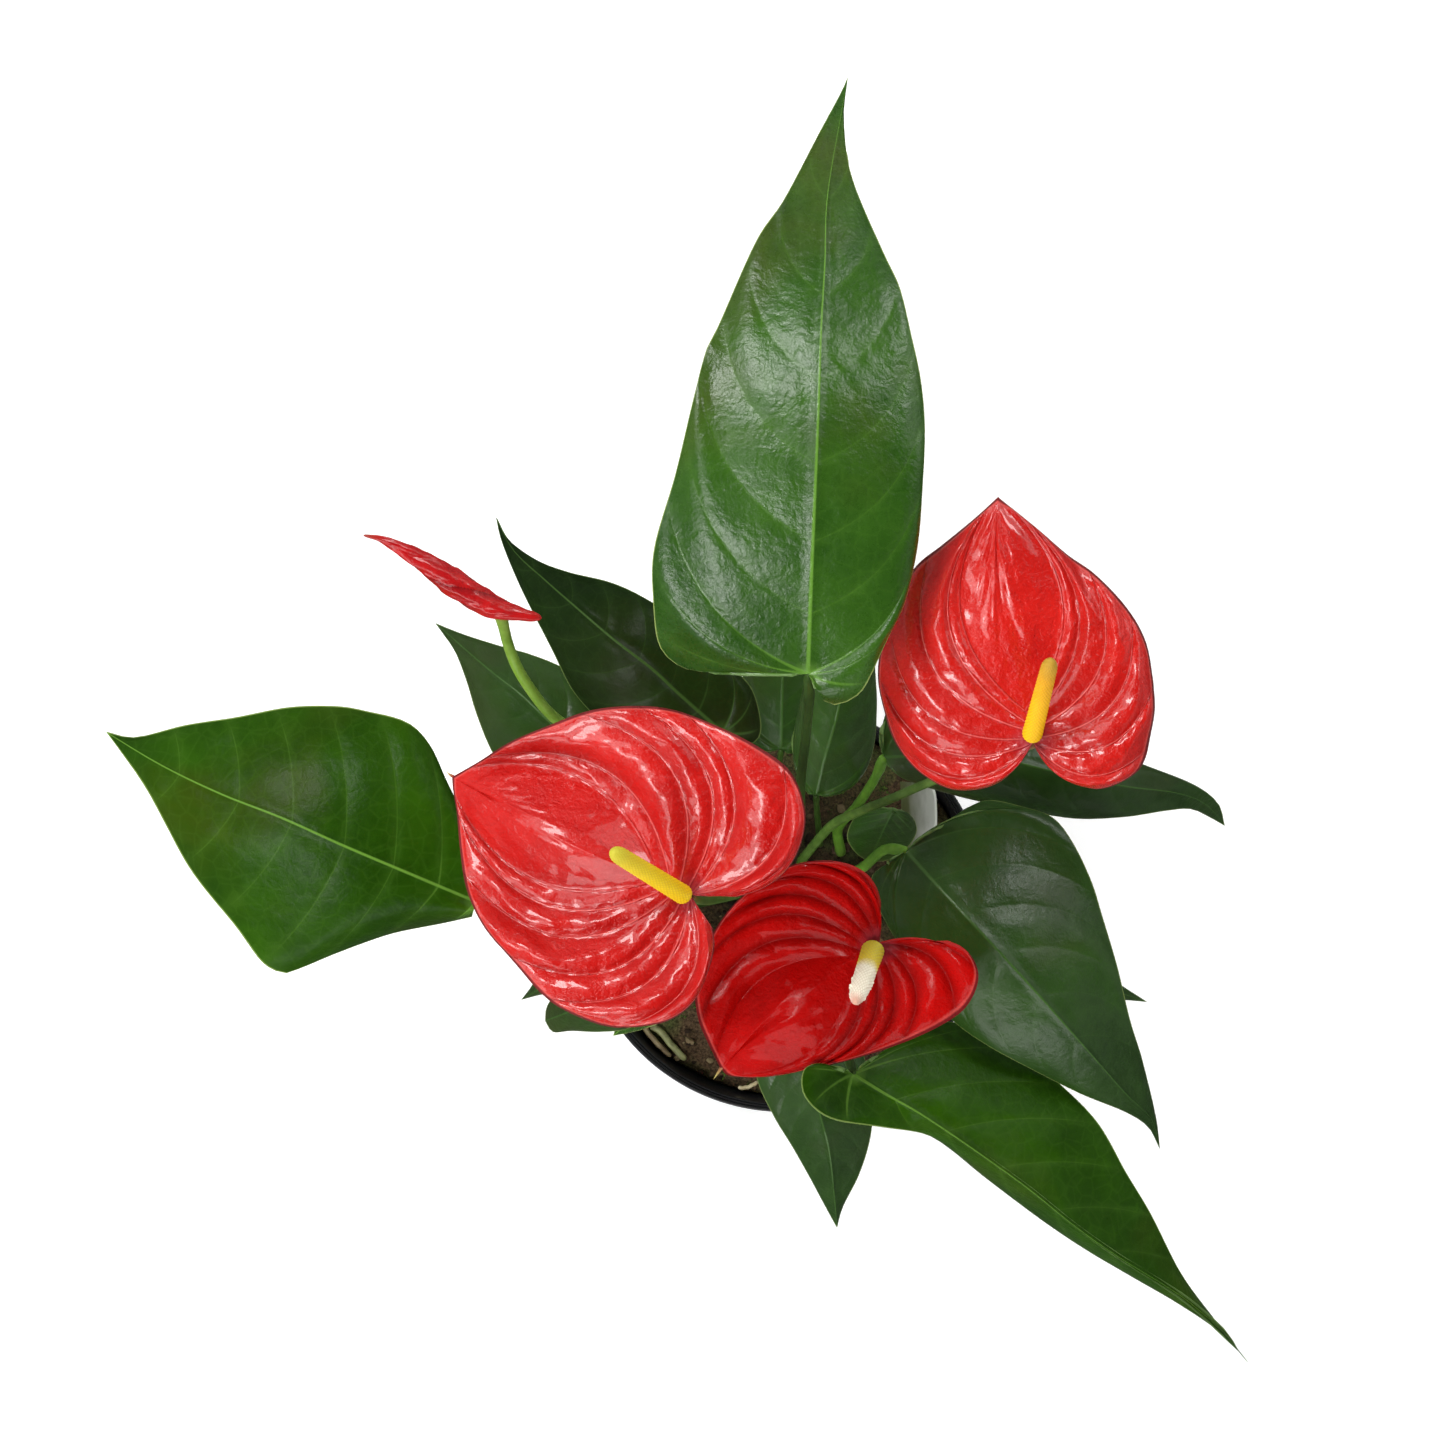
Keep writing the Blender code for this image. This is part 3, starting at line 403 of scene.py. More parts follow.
def rod(route, radius_at, sides, rows, swell=None, fine_ends=False):
    """A bmesh of a closed round rod along a route of places, made from a grid rolled round it.

    radius_at gives the radius in metres at a share of the length, and swell, where given, what is
    added to it at (share of a turn, share of the length). With fine_ends the rows crowd at both ends.
    """
    bm = bmesh.new()
    bmesh.ops.create_grid(bm, x_segments=sides, y_segments=rows, size=0.5)
    turn_layer = bm.verts.layers.float.new("turn")
    along_layer = bm.verts.layers.float.new("along")
    line = smooth_line(route)
    steady = Vector((0.36, 0.93, 0.05))
    frames = []
    step = 0.01
    shares = [row / rows for row in range(rows + 1)]
    if fine_ends:
        shares = [(1 - math.cos(math.pi * share)) / 2 for share in shares]
    for share in shares:
        here = Vector(line(share))
        ahead = (Vector(line(min(1, share + step))) - Vector(line(max(0, share - step)))).normalized()
        side = (steady - ahead * steady.dot(ahead)).normalized()
        steady = side
        frames.append((here, side, ahead.cross(side), radius_at(share)))
    for vert in bm.verts:
        row = round((vert.co.y + 0.5) * rows)
        turn, along = vert.co.x + 0.5, shares[row]
        here, side, other, radius = frames[row]
        vert[turn_layer] = turn
        vert[along_layer] = along
        if swell:
            radius += swell(turn, along)
        vert.co = here + (side * math.cos(math.tau * turn) + other * math.sin(math.tau * turn)) * radius
    bmesh.ops.remove_doubles(bm, verts=bm.verts, dist=0.004 * MM)
    bmesh.ops.holes_fill(bm, edges=bm.edges, sides=sides + 1)
    bmesh.ops.recalc_face_normals(bm, faces=bm.faces)
    return bm


def rounded_ends(share, start, end):
    """0 at both ends and 1 between them, as a half round cap falls off."""
    fall = min(1, share / start if start else 1, (1 - share) / end if end else 1)
    return math.sqrt(max(0, 1 - (1 - fall) ** 2))


ROOTS = {
    "root_olive": ([(650, 1027, 95.8), (660, 1031, 96.5), (669, 1042, 96.6), (678, 1052, 96.3),
                    (686, 1060, 95.6)], 1.0, (0.30, 0.32, 0.13), (0.13, 0.13, 0.05)),
    "root_tan": ([(643, 1026, 95.3), (649, 1034, 96.2), (656, 1042, 96.4), (664, 1050, 96.2),
                  (671, 1057, 95.2)], 0.8, (0.30, 0.24, 0.12), (0.12, 0.08, 0.035)),
    "root_pale": ([(738, 1088, 95.4), (748, 1087, 96.2), (758, 1082, 95.9)], 0.6, (0.62, 0.55, 0.36),
                  (0.35, 0.28, 0.14)),
}

for name, (points, radius, pale, dark) in ROOTS.items():
    root_skin = Finish(name + "_skin", roughness=0.55)
    streaks = root_skin.cloud(420, 4, 0.6)
    root_skin.set("Base Color", root_skin.mix(streaks.ramp(0.35, 0.7), dark, pale))
    root_skin.bumps((streaks, 0.25 * MM, 0.7))
    shape = spots(points)
    bm = rod(shape, lambda share: radius * MM * rounded_ends(share, 0.12, 0.12), sides=14, rows=40,
             swell=lambda turn, along: 0.08 * MM * math.sin(21 * along + math.tau * turn))
    piece_from(name + "_fine", bm, root_skin, 80, [name])

# The tag: a bare white stick-in label, cut from thin plastic sheet. Its pointed foot is pushed into the
# peat by the rim, and its round-cornered head leans out.
TAG_FOOT = (31 * MM, 27 * MM)
TAG_LEAN = 11.5 * MM
TAG_WIDTH = 20 * MM
TAG_THICKNESS = 0.8 * MM
TAG_SHEET = 0.7 * MM
TAG_CURVE = 0.5 * MM
TAG_POINT = 0.22
TAG_LOW = SOIL_TOP - 18 * MM
TAG_HIGH = SOIL_TOP + 32 * MM

white_plastic = Finish("white_plastic", roughness=0.3)
level = white_plastic.node("ShaderNodeSeparateXYZ", {}, {0: white_plastic.place()}, output=2)
algae = white_plastic.cloud(150, 4, 0.6)
clean = (level + 0.02 * (algae - 0.5)).ramp(SOIL_TOP + 6 * MM, SOIL_TOP + 27 * MM)
white_plastic.set("Base Color", white_plastic.mix(clean, (0.10, 0.12, 0.05), (0.66, 0.66, 0.63)))
white_plastic.bumps((white_plastic.cloud(700, 2), 0.05 * MM, 0.5))
bm = bmesh.new()
bmesh.ops.create_grid(bm, x_segments=14, y_segments=40, size=0.5)
for vert in bm.verts:
    across, share = 2 * vert.co.x, vert.co.y + 0.5
    round_off = 0.06 * max(0, abs(across) - 0.55) ** 2 / 0.2 * max(0, (share - 0.85) / 0.15)
    point_off = max(0, 1 - share / TAG_POINT) * 0.85
    share = share - round_off
    leant = TAG_FOOT[0] + TAG_LEAN * max(0, share) ** 1.1
    vert.co = (leant - TAG_THICKNESS / 2 + TAG_CURVE * (1 - across ** 2),
               TAG_FOOT[1] + across * TAG_WIDTH / 2 * (1 - point_off),
               TAG_LOW + (TAG_HIGH - TAG_LOW) * share)
back = bmesh.ops.extrude_face_region(bm, geom=bm.faces[:], use_keep_orig=True)
for vert in back["geom"]:
    if isinstance(vert, bmesh.types.BMVert):
        vert.co.x += TAG_SHEET
bmesh.ops.recalc_face_normals(bm, faces=bm.faces)
piece_from("bare_tag", bm, white_plastic, 40, ["plant_tag"])

# The leaves: heart-shaped, leathery and glossy, each on its own stalk out of the crown. A blade is one
# skin with a raised midrib, side veins that leave it in turn, puffed cells between them and a pale thin edge.
# "left" and "right" are the edges from the back of each lobe to the tip, in plan.
LEAVES = {
    "leaf_rear_tall": {
        "joint": (808, 674, 300), "tip": (848, 76.2, 272), "base": (-1.5, 14), "stalk_radius": (1.9, 1.3),
        "waves": 4,
        "rib": [(811, 586, 309), (815, 492, 315), (818, 421, 316), (821, 333, 312), (825, 262, 305),
            (828, 192, 296)],
        "left": [(702, 672, 296), (679, 666, 294), (659, 645, 295), (653, 600, 299), (654, 548, 303),
            (675, 475, 308), (692, 404, 310), (706, 350, 309), (718, 326, 308), (756, 241, 301),
            (784, 199, 297), (819, 133, 285), (841, 92, 275)],
        "right": [(818, 686, 299), (823, 700, 297), (836, 705, 296), (852, 699, 297), (866, 685, 299),
            (888, 638, 302), (905, 602, 304), (918, 545, 306), (923, 482, 308), (925, 428, 309),
            (921, 380, 309), (911, 333, 307), (900, 288, 304), (883, 251, 301), (852, 177, 292),
            (844, 120, 280)],
        "stalk": [(797, 840, 140), (801, 779, 215), (806, 736, 255), (809, 700, 285)],
    },
    "leaf_left": {
        "joint": (476, 902, 228), "tip": (106, 732, 213), "base": (-11, 11), "stalk_radius": (1.9, 1.2),
        "basal": (0.04, 0.12), "bow": 0.06, "arch": 5, "waves": 2,
        "rib": [(455, 893, 231), (403, 871, 238), (342, 845, 241), (282, 818, 240), (221, 794, 235),
            (161, 765, 226)],
        "left": [(472, 917, 223), (440, 924, 221), (391, 934, 222), (340, 952, 223), (299, 969, 224),
            (283, 973, 224), (262, 962, 225), (236, 927, 227), (190, 869, 229), (148, 792, 225),
            (120, 751, 216)],
        "right": [(474, 838, 229), (460, 808, 230), (446, 779, 231), (430, 745, 231), (407, 722, 231),
            (367, 711, 230), (337, 706, 230), (289, 707, 229), (236, 717, 227), (185, 725, 223),
            (136, 737, 217)],
        "stalk": [(688, 872, 150), (605, 880, 200)],
    },
    "leaf_rear_dark": {
        "joint": (722, 732, 192), "tip": (496, 518, 180), "base": (-3, 21), "stalk_radius": (1.8, 1.2),
        "rib": [(679, 694, 199), (652, 669, 202), (613, 639, 204), (578, 609, 201), (545, 580, 195),
            (514, 551, 186)],
        "left": [(722, 748, 190), (718, 768, 186), (700, 780, 184), (672, 774, 184), (640, 752, 186),
            (610, 730, 188), (586, 707, 190), (569, 685, 191), (552, 650, 192), (528, 603, 190),
            (514, 573, 187), (501, 540, 182)],
        "right": [(733, 738, 192), (748, 744, 191), (759, 738, 190), (761, 720, 190), (753, 691, 192),
            (738, 672, 194), (700, 634, 197), (652, 602, 198), (613, 583, 197), (569, 572, 194),
            (537, 560, 189), (508, 539, 183)],
        "stalk": [(730, 760, 165)],
    },
    "leaf_rear_low": {
        "joint": (631, 790, 180), "tip": (435, 623, 166), "base": (-10, 18), "stalk_radius": (1.7, 1.1),
        "waves": 2,
        "rib": [(590, 754, 184), (550, 722, 185), (520, 694, 183), (487, 668, 178)],
        "left": [(630, 806, 178), (618, 824, 176), (590, 832, 175), (552, 822, 175), (515, 790, 176),
            (491, 750, 176), (476, 713, 175), (466, 680, 173), (455, 652, 170), (443, 634, 167)],
        "right": [(645, 792, 179), (656, 780, 178), (652, 755, 178), (632, 722, 179), (600, 692, 179),
            (564, 668, 178), (530, 654, 176), (501, 646, 173), (466, 635, 169)],
        "stalk": [(680, 822, 145)],
    },
    "leaf_middle_grey": {
        "joint": (781, 749, 150), "tip": (788, 540, 150), "base": (4, 22), "stalk_radius": (1.4, 0.9),
        "basal": (0.35, 0.35), "small": True,
        "rib": [(782, 700, 157), (784, 640, 161), (786, 590, 159)],
        "left": [(770, 752, 149), (755, 748, 147), (745, 730, 147), (742, 700, 149), (745, 650, 152),
            (757, 600, 153)],
        "right": [(788, 754, 149), (800, 752, 147), (812, 735, 147), (818, 700, 149), (817, 650, 152),
            (806, 590, 152)],
        "stalk": [(781, 775, 130)],
    },
    "leaf_middle_round": {
        "joint": (816, 795, 168), "tip": (858, 590, 174), "base": (10.5, 19), "stalk_radius": (1.3, 0.9),
        "basal": (0.35, 0.35), "small": True,
        "rib": [(824, 760, 176), (836, 720, 182), (846, 670, 184), (853, 630, 181)],
        "left": [(808, 794, 167), (800, 783, 165), (794, 765, 166), (793, 745, 168), (798, 710, 171),
            (810, 665, 174), (832, 620, 175)],
        "right": [(826, 797, 167), (840, 794, 165), (856, 784, 165), (868, 766, 166), (875, 740, 168),
            (877, 705, 171), (876, 680, 173), (873, 640, 175), (868, 612, 175)],
        "stalk": [(819, 834, 120), (817, 812, 146)],
    },
    "leaf_right_narrow": {
        "joint": (884, 757, 190), "tip": (1225, 826, 148), "base": (16.5, 17), "stalk_radius": (1.9, 1.5),
        "basal": (0.25, 0.05), "waves": 2,
        "rib": [(930, 757, 197), (1001, 760, 199), (1040, 768, 198), (1085, 779, 194), (1130, 787, 187),
            (1172, 792, 178), (1199, 800, 168), (1213, 811, 159)],
        "left": [(880, 745, 191), (883, 722, 192), (893, 700, 192), (915, 690, 192), (950, 696, 193),
            (1000, 712, 193), (1050, 728, 192), (1100, 748, 189), (1145, 765, 183), (1193, 784, 173),
            (1218, 803, 161)],
        "right": [(903, 777, 184), (930, 788, 182), (960, 797, 182), (1000, 806, 184), (1042, 814, 186),
            (1080, 819, 187), (1126, 817, 184), (1165, 811, 177), (1190, 809, 168), (1207, 816, 158)],
        "stalk": [(838, 828, 115), (856, 807, 145), (874, 780, 175)],
    },
    "leaf_right_broad": {
        "joint": (906, 851, 213), "tip": (1160, 1149, 172), "base": (17, 9.5), "stalk_radius": (2.0, 1.5),
        "arch": 3,
        "rib": [(944, 893, 222), (990, 942, 226), (1035, 991, 223), (1081, 1043, 214), (1127, 1095, 197),
            (1151, 1118, 184)],
        "left": [(966, 808, 211), (988, 800, 211), (1020, 806, 213), (1052, 817, 214), (1072, 841, 214),
            (1091, 880, 214), (1103, 918, 213), (1117, 965, 210), (1130, 1019, 205), (1143, 1062, 196),
            (1156, 1117, 182)],
        "right": [(880, 868, 210), (872, 876, 208), (871, 888, 207), (880, 911, 207), (897, 942, 208),
            (920, 980, 210), (950, 1018, 211), (985, 1044, 211), (1029, 1068, 208), (1081, 1094, 202),
            (1125, 1112, 192), (1148, 1127, 181)],
        "stalk": [(862, 868, 150), (884, 850, 196)],
    },
    "leaf_front_long": {
        "joint": (853, 1074, 221), "tip": (1248.6, 1362.6, 148), "base": (10, -3),
        "stalk_radius": (1.9, 1.3), "basal": (0.24, 0.2), "bow": 0.06,
        "rib": [(887, 1095, 219), (920, 1114, 217), (968, 1146, 214), (1027, 1188, 209), (1073, 1225, 201),
            (1117, 1256, 190), (1181, 1296, 172), (1222, 1331, 159)],
        "left": [(900, 1038, 208), (925, 1025, 203), (952, 1022, 201), (985, 1030, 198), (1025, 1056, 197),
            (1060, 1084, 197), (1098, 1123, 195), (1126, 1172, 189), (1151, 1214, 181), (1181, 1273, 168),
            (1213, 1317, 157)],
        "right": [(841, 1069, 226), (820, 1063, 232.5), (804, 1070, 235), (803, 1092, 234.5),
            (818, 1111, 232), (840, 1121, 229), (880, 1127, 222), (924, 1134, 210), (950, 1149, 202),
            (983, 1176, 194), (1040, 1219, 186), (1086, 1250, 180), (1132, 1277, 172), (1180, 1305, 164),
            (1222, 1334, 154)],
        "stalk": [(828, 985, 140), (842, 1035, 195)],
    },
    "leaf_front_small": {
        "joint": (800, 1030, 156), "tip": (837, 1228, 130), "base": (2, -6), "stalk_radius": (1.5, 1.0),
        "wave": 0.5, "waves": 2, "small": True,
        "rib": [(808, 1070, 161), (821, 1117, 160), (829, 1150, 154), (834, 1192, 143)],
        "left": [(778, 1021, 154), (764, 1028, 153), (756, 1045, 153), (757, 1079, 153), (773, 1115, 151),
            (793, 1148, 147), (811, 1180, 141), (826, 1208, 135)],
        "right": [(824, 1013, 154), (843, 1019, 153), (856, 1037, 153), (868, 1070, 153), (873, 1105, 152),
            (870, 1140, 149), (859, 1175, 143), (843, 1207, 135)],
        "stalk": [(793, 985, 130)],
    },
    "leaf_front_hidden": {
        "joint": (655, 975, 163), "tip": (545, 1021, 150), "base": (-8, -2), "stalk_radius": (1.4, 0.9),
        "waves": 2, "small": True,
        "rib": [(620, 992, 169), (590, 1004, 168), (566, 1013, 161)],
        "left": [(662, 990, 162), (655, 1010, 159), (630, 1028, 158), (600, 1032, 157), (572, 1031, 154),
            (553, 1032, 150)],
        "right": [(658, 962, 162), (645, 946, 159), (618, 944, 159), (588, 962, 160), (562, 985, 157),
            (547, 1006, 152)],
        "stalk": [(700, 955, 135)],
    },
    "leaf_low_left": {
        "joint": (602, 934, 148), "tip": (521, 1000, 135), "base": (-12, 4), "stalk_radius": (1.3, 0.8),
        "waves": 2, "small": True,
        "rib": [(580, 955, 152), (556, 975, 149), (537, 990, 143)],
        "left": [(608, 945, 147), (606, 962, 145), (590, 978, 145), (566, 990, 144), (540, 995, 140)],
        "right": [(596, 924, 147), (578, 922, 145), (560, 935, 146), (546, 960, 146), (532, 985, 140)],
        "stalk": [(670, 912, 125)],
    },
    "leaf_low_right": {
        "joint": (948, 905, 160), "tip": (1147, 1002, 146), "base": (18, 1.5), "stalk_radius": (1.4, 0.9),
        "waves": 2, "small": True,
        "rib": [(990, 932, 168), (1040, 960, 169), (1090, 982, 162)],
        "left": [(950, 893, 159), (970, 880, 157), (1010, 892, 160), (1060, 930, 162), (1108, 975, 156)],
        "right": [(938, 914, 158), (932, 935, 156), (955, 965, 158), (1010, 990, 160), (1070, 1000, 157),
            (1120, 1000, 151)],
        "stalk": [(900, 893, 130)],
    },
    "leaf_young_front": {
        "joint": (668, 985, 126), "tip": (613, 1036, 119), "base": (-5, -8), "stalk_radius": (1.2, 0.8),
        "waves": 2, "small": True,
        "rib": [(650, 1002, 130), (632, 1020, 127)],
        "left": [(676, 992, 125), (680, 1006, 124), (666, 1020, 124), (640, 1030, 122)],
        "right": [(660, 976, 125), (644, 978, 124), (630, 995, 124), (618, 1020, 122)],
        "stalk": [(706, 962, 113)],
    },
    "leaf_young_middle": {
        "joint": (893, 811, 166), "tip": (868, 862, 130), "base": (23, 12.5), "stalk_radius": (1.3, 0.9),
        "bow": 0, "wave": 0.3, "waves": 1, "small": True,
        "rib": [(886, 825, 162), (880, 838, 154), (874, 850, 143)],
        "left": [(908, 812, 162), (915, 821, 158), (916, 834, 154), (905, 850, 146), (888, 860, 137)],
        "right": [(872, 806, 163), (859, 813, 158), (851, 823, 154), (847, 838, 150), (855, 852, 141)],
        "stalk": [(905, 830, 120)],
    },
}

# What a leaf has where its own entry says nothing else. "basal" is how far along each edge the veins from
# the joint reach, "bow" how much the side veins bend back, and "small" leaves get a coarser grid.
PLAIN_LEAF = {"basal": (0.3, 0.3), "bow": 0.14, "arch": 2, "wave": 1, "waves": 3, "small": False}
LEAF_RIB = (0, 0, 0, 0.10, 0.22, 0.35, 0.49, 0.63, 0.79)
BLADE = 0.6 * MM
BLISTER = 5 * MM
VEIN_CROWDING = 0.11
CALM_TIP_MM = 12
VEIN_MM = 0.42
CURL_MM = 1.6
KEEL_MM = 1.6
EDGE = 0.985


def default_ends(basal):
    """Where the side veins meet the edge: three from the joint, then those that leave the rib."""
    first = [basal * part for part in (0.33, 0.66, 1)]
    return first + [basal + (1 - basal) * share ** (1 / 1.2) for share in LEAF_RIB[3:]]


def blade_bmesh(blade, rib_shares, ends, rows_a_cell, columns, thickness, relief):
    """A closed blade: a grid laid from edge to edge over the rib, with its rows along the side veins.

    Each vertex carries where it lies for the finish to draw on: across (-1 to 1), phase (a whole
    number on each side vein), cell_mm and ray_mm (the width of its cell and the length of its row),
    out_mm (how far it lies from the joint) and under (1 on the lower face).
    """
    cells = len(rib_shares) + 1
    rows = cells * rows_a_cell
    bm = bmesh.new()
    bmesh.ops.create_grid(bm, x_segments=2 * columns, y_segments=rows, size=1)
    layers = {name: bm.verts.layers.float.new(name)
              for name in ("across", "phase", "cell_mm", "ray_mm", "out_mm", "under")}
    flat = np.array([vert.co[:2] for vert in bm.verts])
    across = np.sign(flat[:, 0]) * np.abs(flat[:, 0]) ** relief["crowd"]
    share = np.abs(across)
    raw = (flat[:, 1] + 1) / 2 * cells
    phase = raw - VEIN_CROWDING * np.sin(math.tau * raw)

    rib = smooth_line([blade["joint"]] + blade["rib"] + [blade["tip"]])
    towards_tip = np.array(blade["tip"][:2]) - np.array(blade["joint"][:2])
    knots = np.arange(cells + 1)
    bow_shape = [0, 0.6] + [1] * (cells - 3) + [0.85, 0]

    def lay(side, phase, share):
        edge = smooth_line(blade["left" if side < 0 else "right"] + [blade["tip"]])
        middle = (edge(0.6) - rib(0.3))[:2]
        hand = -1 if np.array((middle[1], -middle[0])) @ towards_tip > 0 else 1
        start = rib(np.interp(phase, knots, [0, *rib_shares, 1]))
        end = edge(np.interp(phase, knots, [0, *ends[side], 1]))
        backward = hand * np.stack([end[:, 1] - start[:, 1], start[:, 0] - end[:, 0]], axis=-1)
        bow = blade["bow"] * np.interp(phase, knots, bow_shape)
        point = start + (end - start) * share[:, None]
        point[:, :2] += backward * (bow * 4 * share * (1 - share))[:, None]
        return point, start, end, np.interp(phase, knots, [0, *ends[side], 1])

    place = np.zeros((len(flat), 3))
    cell = np.zeros(len(flat))
    ray = np.zeros(len(flat))
    along = np.zeros(len(flat))
    for side in (-1, 1):
        mine = across < 0 if side < 0 else across >= 0
        point, start, end, on_edge = lay(side, phase[mine], share[mine])
        low = np.clip(np.floor(phase[mine] - 1e-6), 0, cells - 1)
        first = lay(side, low, share[mine])[0]
        second = lay(side, low + 1, share[mine])[0]
        place[mine] = point
        cell[mine] = np.linalg.norm(spots(first) - spots(second), axis=1)
        ray[mine] = np.linalg.norm(spots(start) - spots(end), axis=1)
        along[mine] = on_edge
    part_of_cell = phase - np.floor(phase)
    tip_gap = np.linalg.norm(spots(place) - spots(np.array(blade["tip"])), axis=1) / MM
    calm_ends = np.clip(np.minimum(6 * along, tip_gap / CALM_TIP_MM), 0, 1)
    belly = 4 * share * (1 - share)
    pillow = np.clip(np.sin(math.pi * part_of_cell), 0, 1) ** relief["pillow"]
    strip = part_of_cell * cell / MM / 3 + 17.3 * np.floor(phase)
    puff = np.minimum(relief["puff"], relief["puff_share"] * cell / MM) * pillow
    place[:, 2] += belly * relief["arch"] * (1 - along)
    puff[phase > cells - 1] *= relief["tip_puff"]
    vein_off = np.abs(phase - np.round(phase)) * cell / MM
    puff += relief["vein"] * np.exp(-(vein_off / VEIN_MM) ** 2)
    place[:, 2] += puff * calm_ends * np.clip(4 * (1 - share), 0, 1) * np.clip(6 * share, 0, 1)
    swing = np.sin(math.tau * blade["waves"] * along + 4 * across)
    place[:, 2] += share ** 2 * calm_ends * blade["wave"] * swing
    rib_off = share * ray / MM
    ridge = relief["ridge"] * np.exp(-(rib_off / relief["ridge_width"]) ** 2)
    place[:, 2] += ridge * np.clip(8 * (1 - along), 0, 1)
    edge_off = (1 - share) * ray / MM
    curl = relief["curl"] * np.exp(-(edge_off / CURL_MM) ** 2)
    place[:, 2] -= curl * np.clip(10 * (1 - along), 0, 1)
    metres = spots(place)
    joint = spots(np.array(blade["joint"]))
    crease = relief["crease"] * MM
    seed = blade["tip"][0] * 0.013
    for number, vert in enumerate(bm.verts):
        at = Vector(metres[number])
        shift = noise.noise(at * 75 + Vector((seed, 0, 0)))
        shift += relief["rumple"] * noise.noise(at * 230 + Vector((0, seed, 0)))
        shift += relief["wrinkle"] * noise.noise(at * 520 + Vector((0, 0, seed)))
        along_row = share[number] * ray[number] / MM
        ripple = noise.noise((1.3 * phase[number] + seed, along_row / 7, 3.7))
        pleat = noise.noise((strip[number], along_row / 9, 5.1 + seed))
        shift += relief["ripple"] * pillow[number] * ripple
        shift += relief["pleat"] * pillow[number] * pleat
        warped = (at + Vector((0, 0, 0.1))) / BLISTER + Vector((shift, 0.5 * shift, 0))
        near, far = noise.voronoi(warped)[0][:2]
        shift += relief["blister"] * (min(1, 1.7 * (far - near)) - 0.6)
        at.z += crease * shift * min(1, 8 * share[number] + 0.2) * calm_ends[number]
        vert.co = at
        lies = {"across": across[number], "phase": phase[number], "cell_mm": cell[number] / MM,
                "ray_mm": ray[number] / MM, "out_mm": np.linalg.norm(metres[number] - joint) / MM}
        for key, value in lies.items():
            vert[layers[key]] = value
    bmesh.ops.remove_doubles(bm, verts=bm.verts, dist=0.0001 * MM)
    bmesh.ops.triangulate(bm, faces=bm.faces, quad_method="SHORT_EDGE")
    bmesh.ops.recalc_face_normals(bm, faces=bm.faces)

    # The lower face is the upper one moved inward along its normals, and straight down at the joint and the
    # tip, where the skin turns too sharply for that.
    facing = sum((face.normal * face.calc_area() for face in bm.faces), Vector())
    downward = -1 if facing.z > 0 else 1
    bm.normal_update()
    through = bm.verts.layers.float_vector.new("through")
    tip = Vector(spots(blade["tip"]))
    for vert in bm.verts:
        near_end = max(1.6 - (vert.co - tip).length / (10 * MM), 1.6 - vert[layers["out_mm"]] / 3,
                       relief["level"])
        slant = vert.normal.lerp(facing.normalized(), max(0, min(1, near_end)))
        vert[through] = slant.normalized() * downward
    middle = Vector(metres.mean(axis=0))
    lower = bmesh.ops.extrude_face_region(bm, geom=bm.faces[:], use_keep_orig=True)
    for vert in lower["geom"]:
        if isinstance(vert, bmesh.types.BMVert):
            near_rib = max(0, 1 - abs(vert[layers["across"]]) * vert[layers["ray_mm"]] / KEEL_MM)
            vert.co += vert[through] * (thickness + relief["keel"] * MM * near_rib ** 0.6)
            if abs(vert[layers["across"]]) > EDGE:
                tuck = min(relief["tuck"], 0.04 * vert[layers["ray_mm"]])
                vert.co += (middle - vert.co).normalized() * tuck * MM
            vert[layers["under"]] = 1
    bm.verts.layers.float_vector.remove(through)
    bmesh.ops.recalc_face_normals(bm, faces=bm.faces)
    return bm


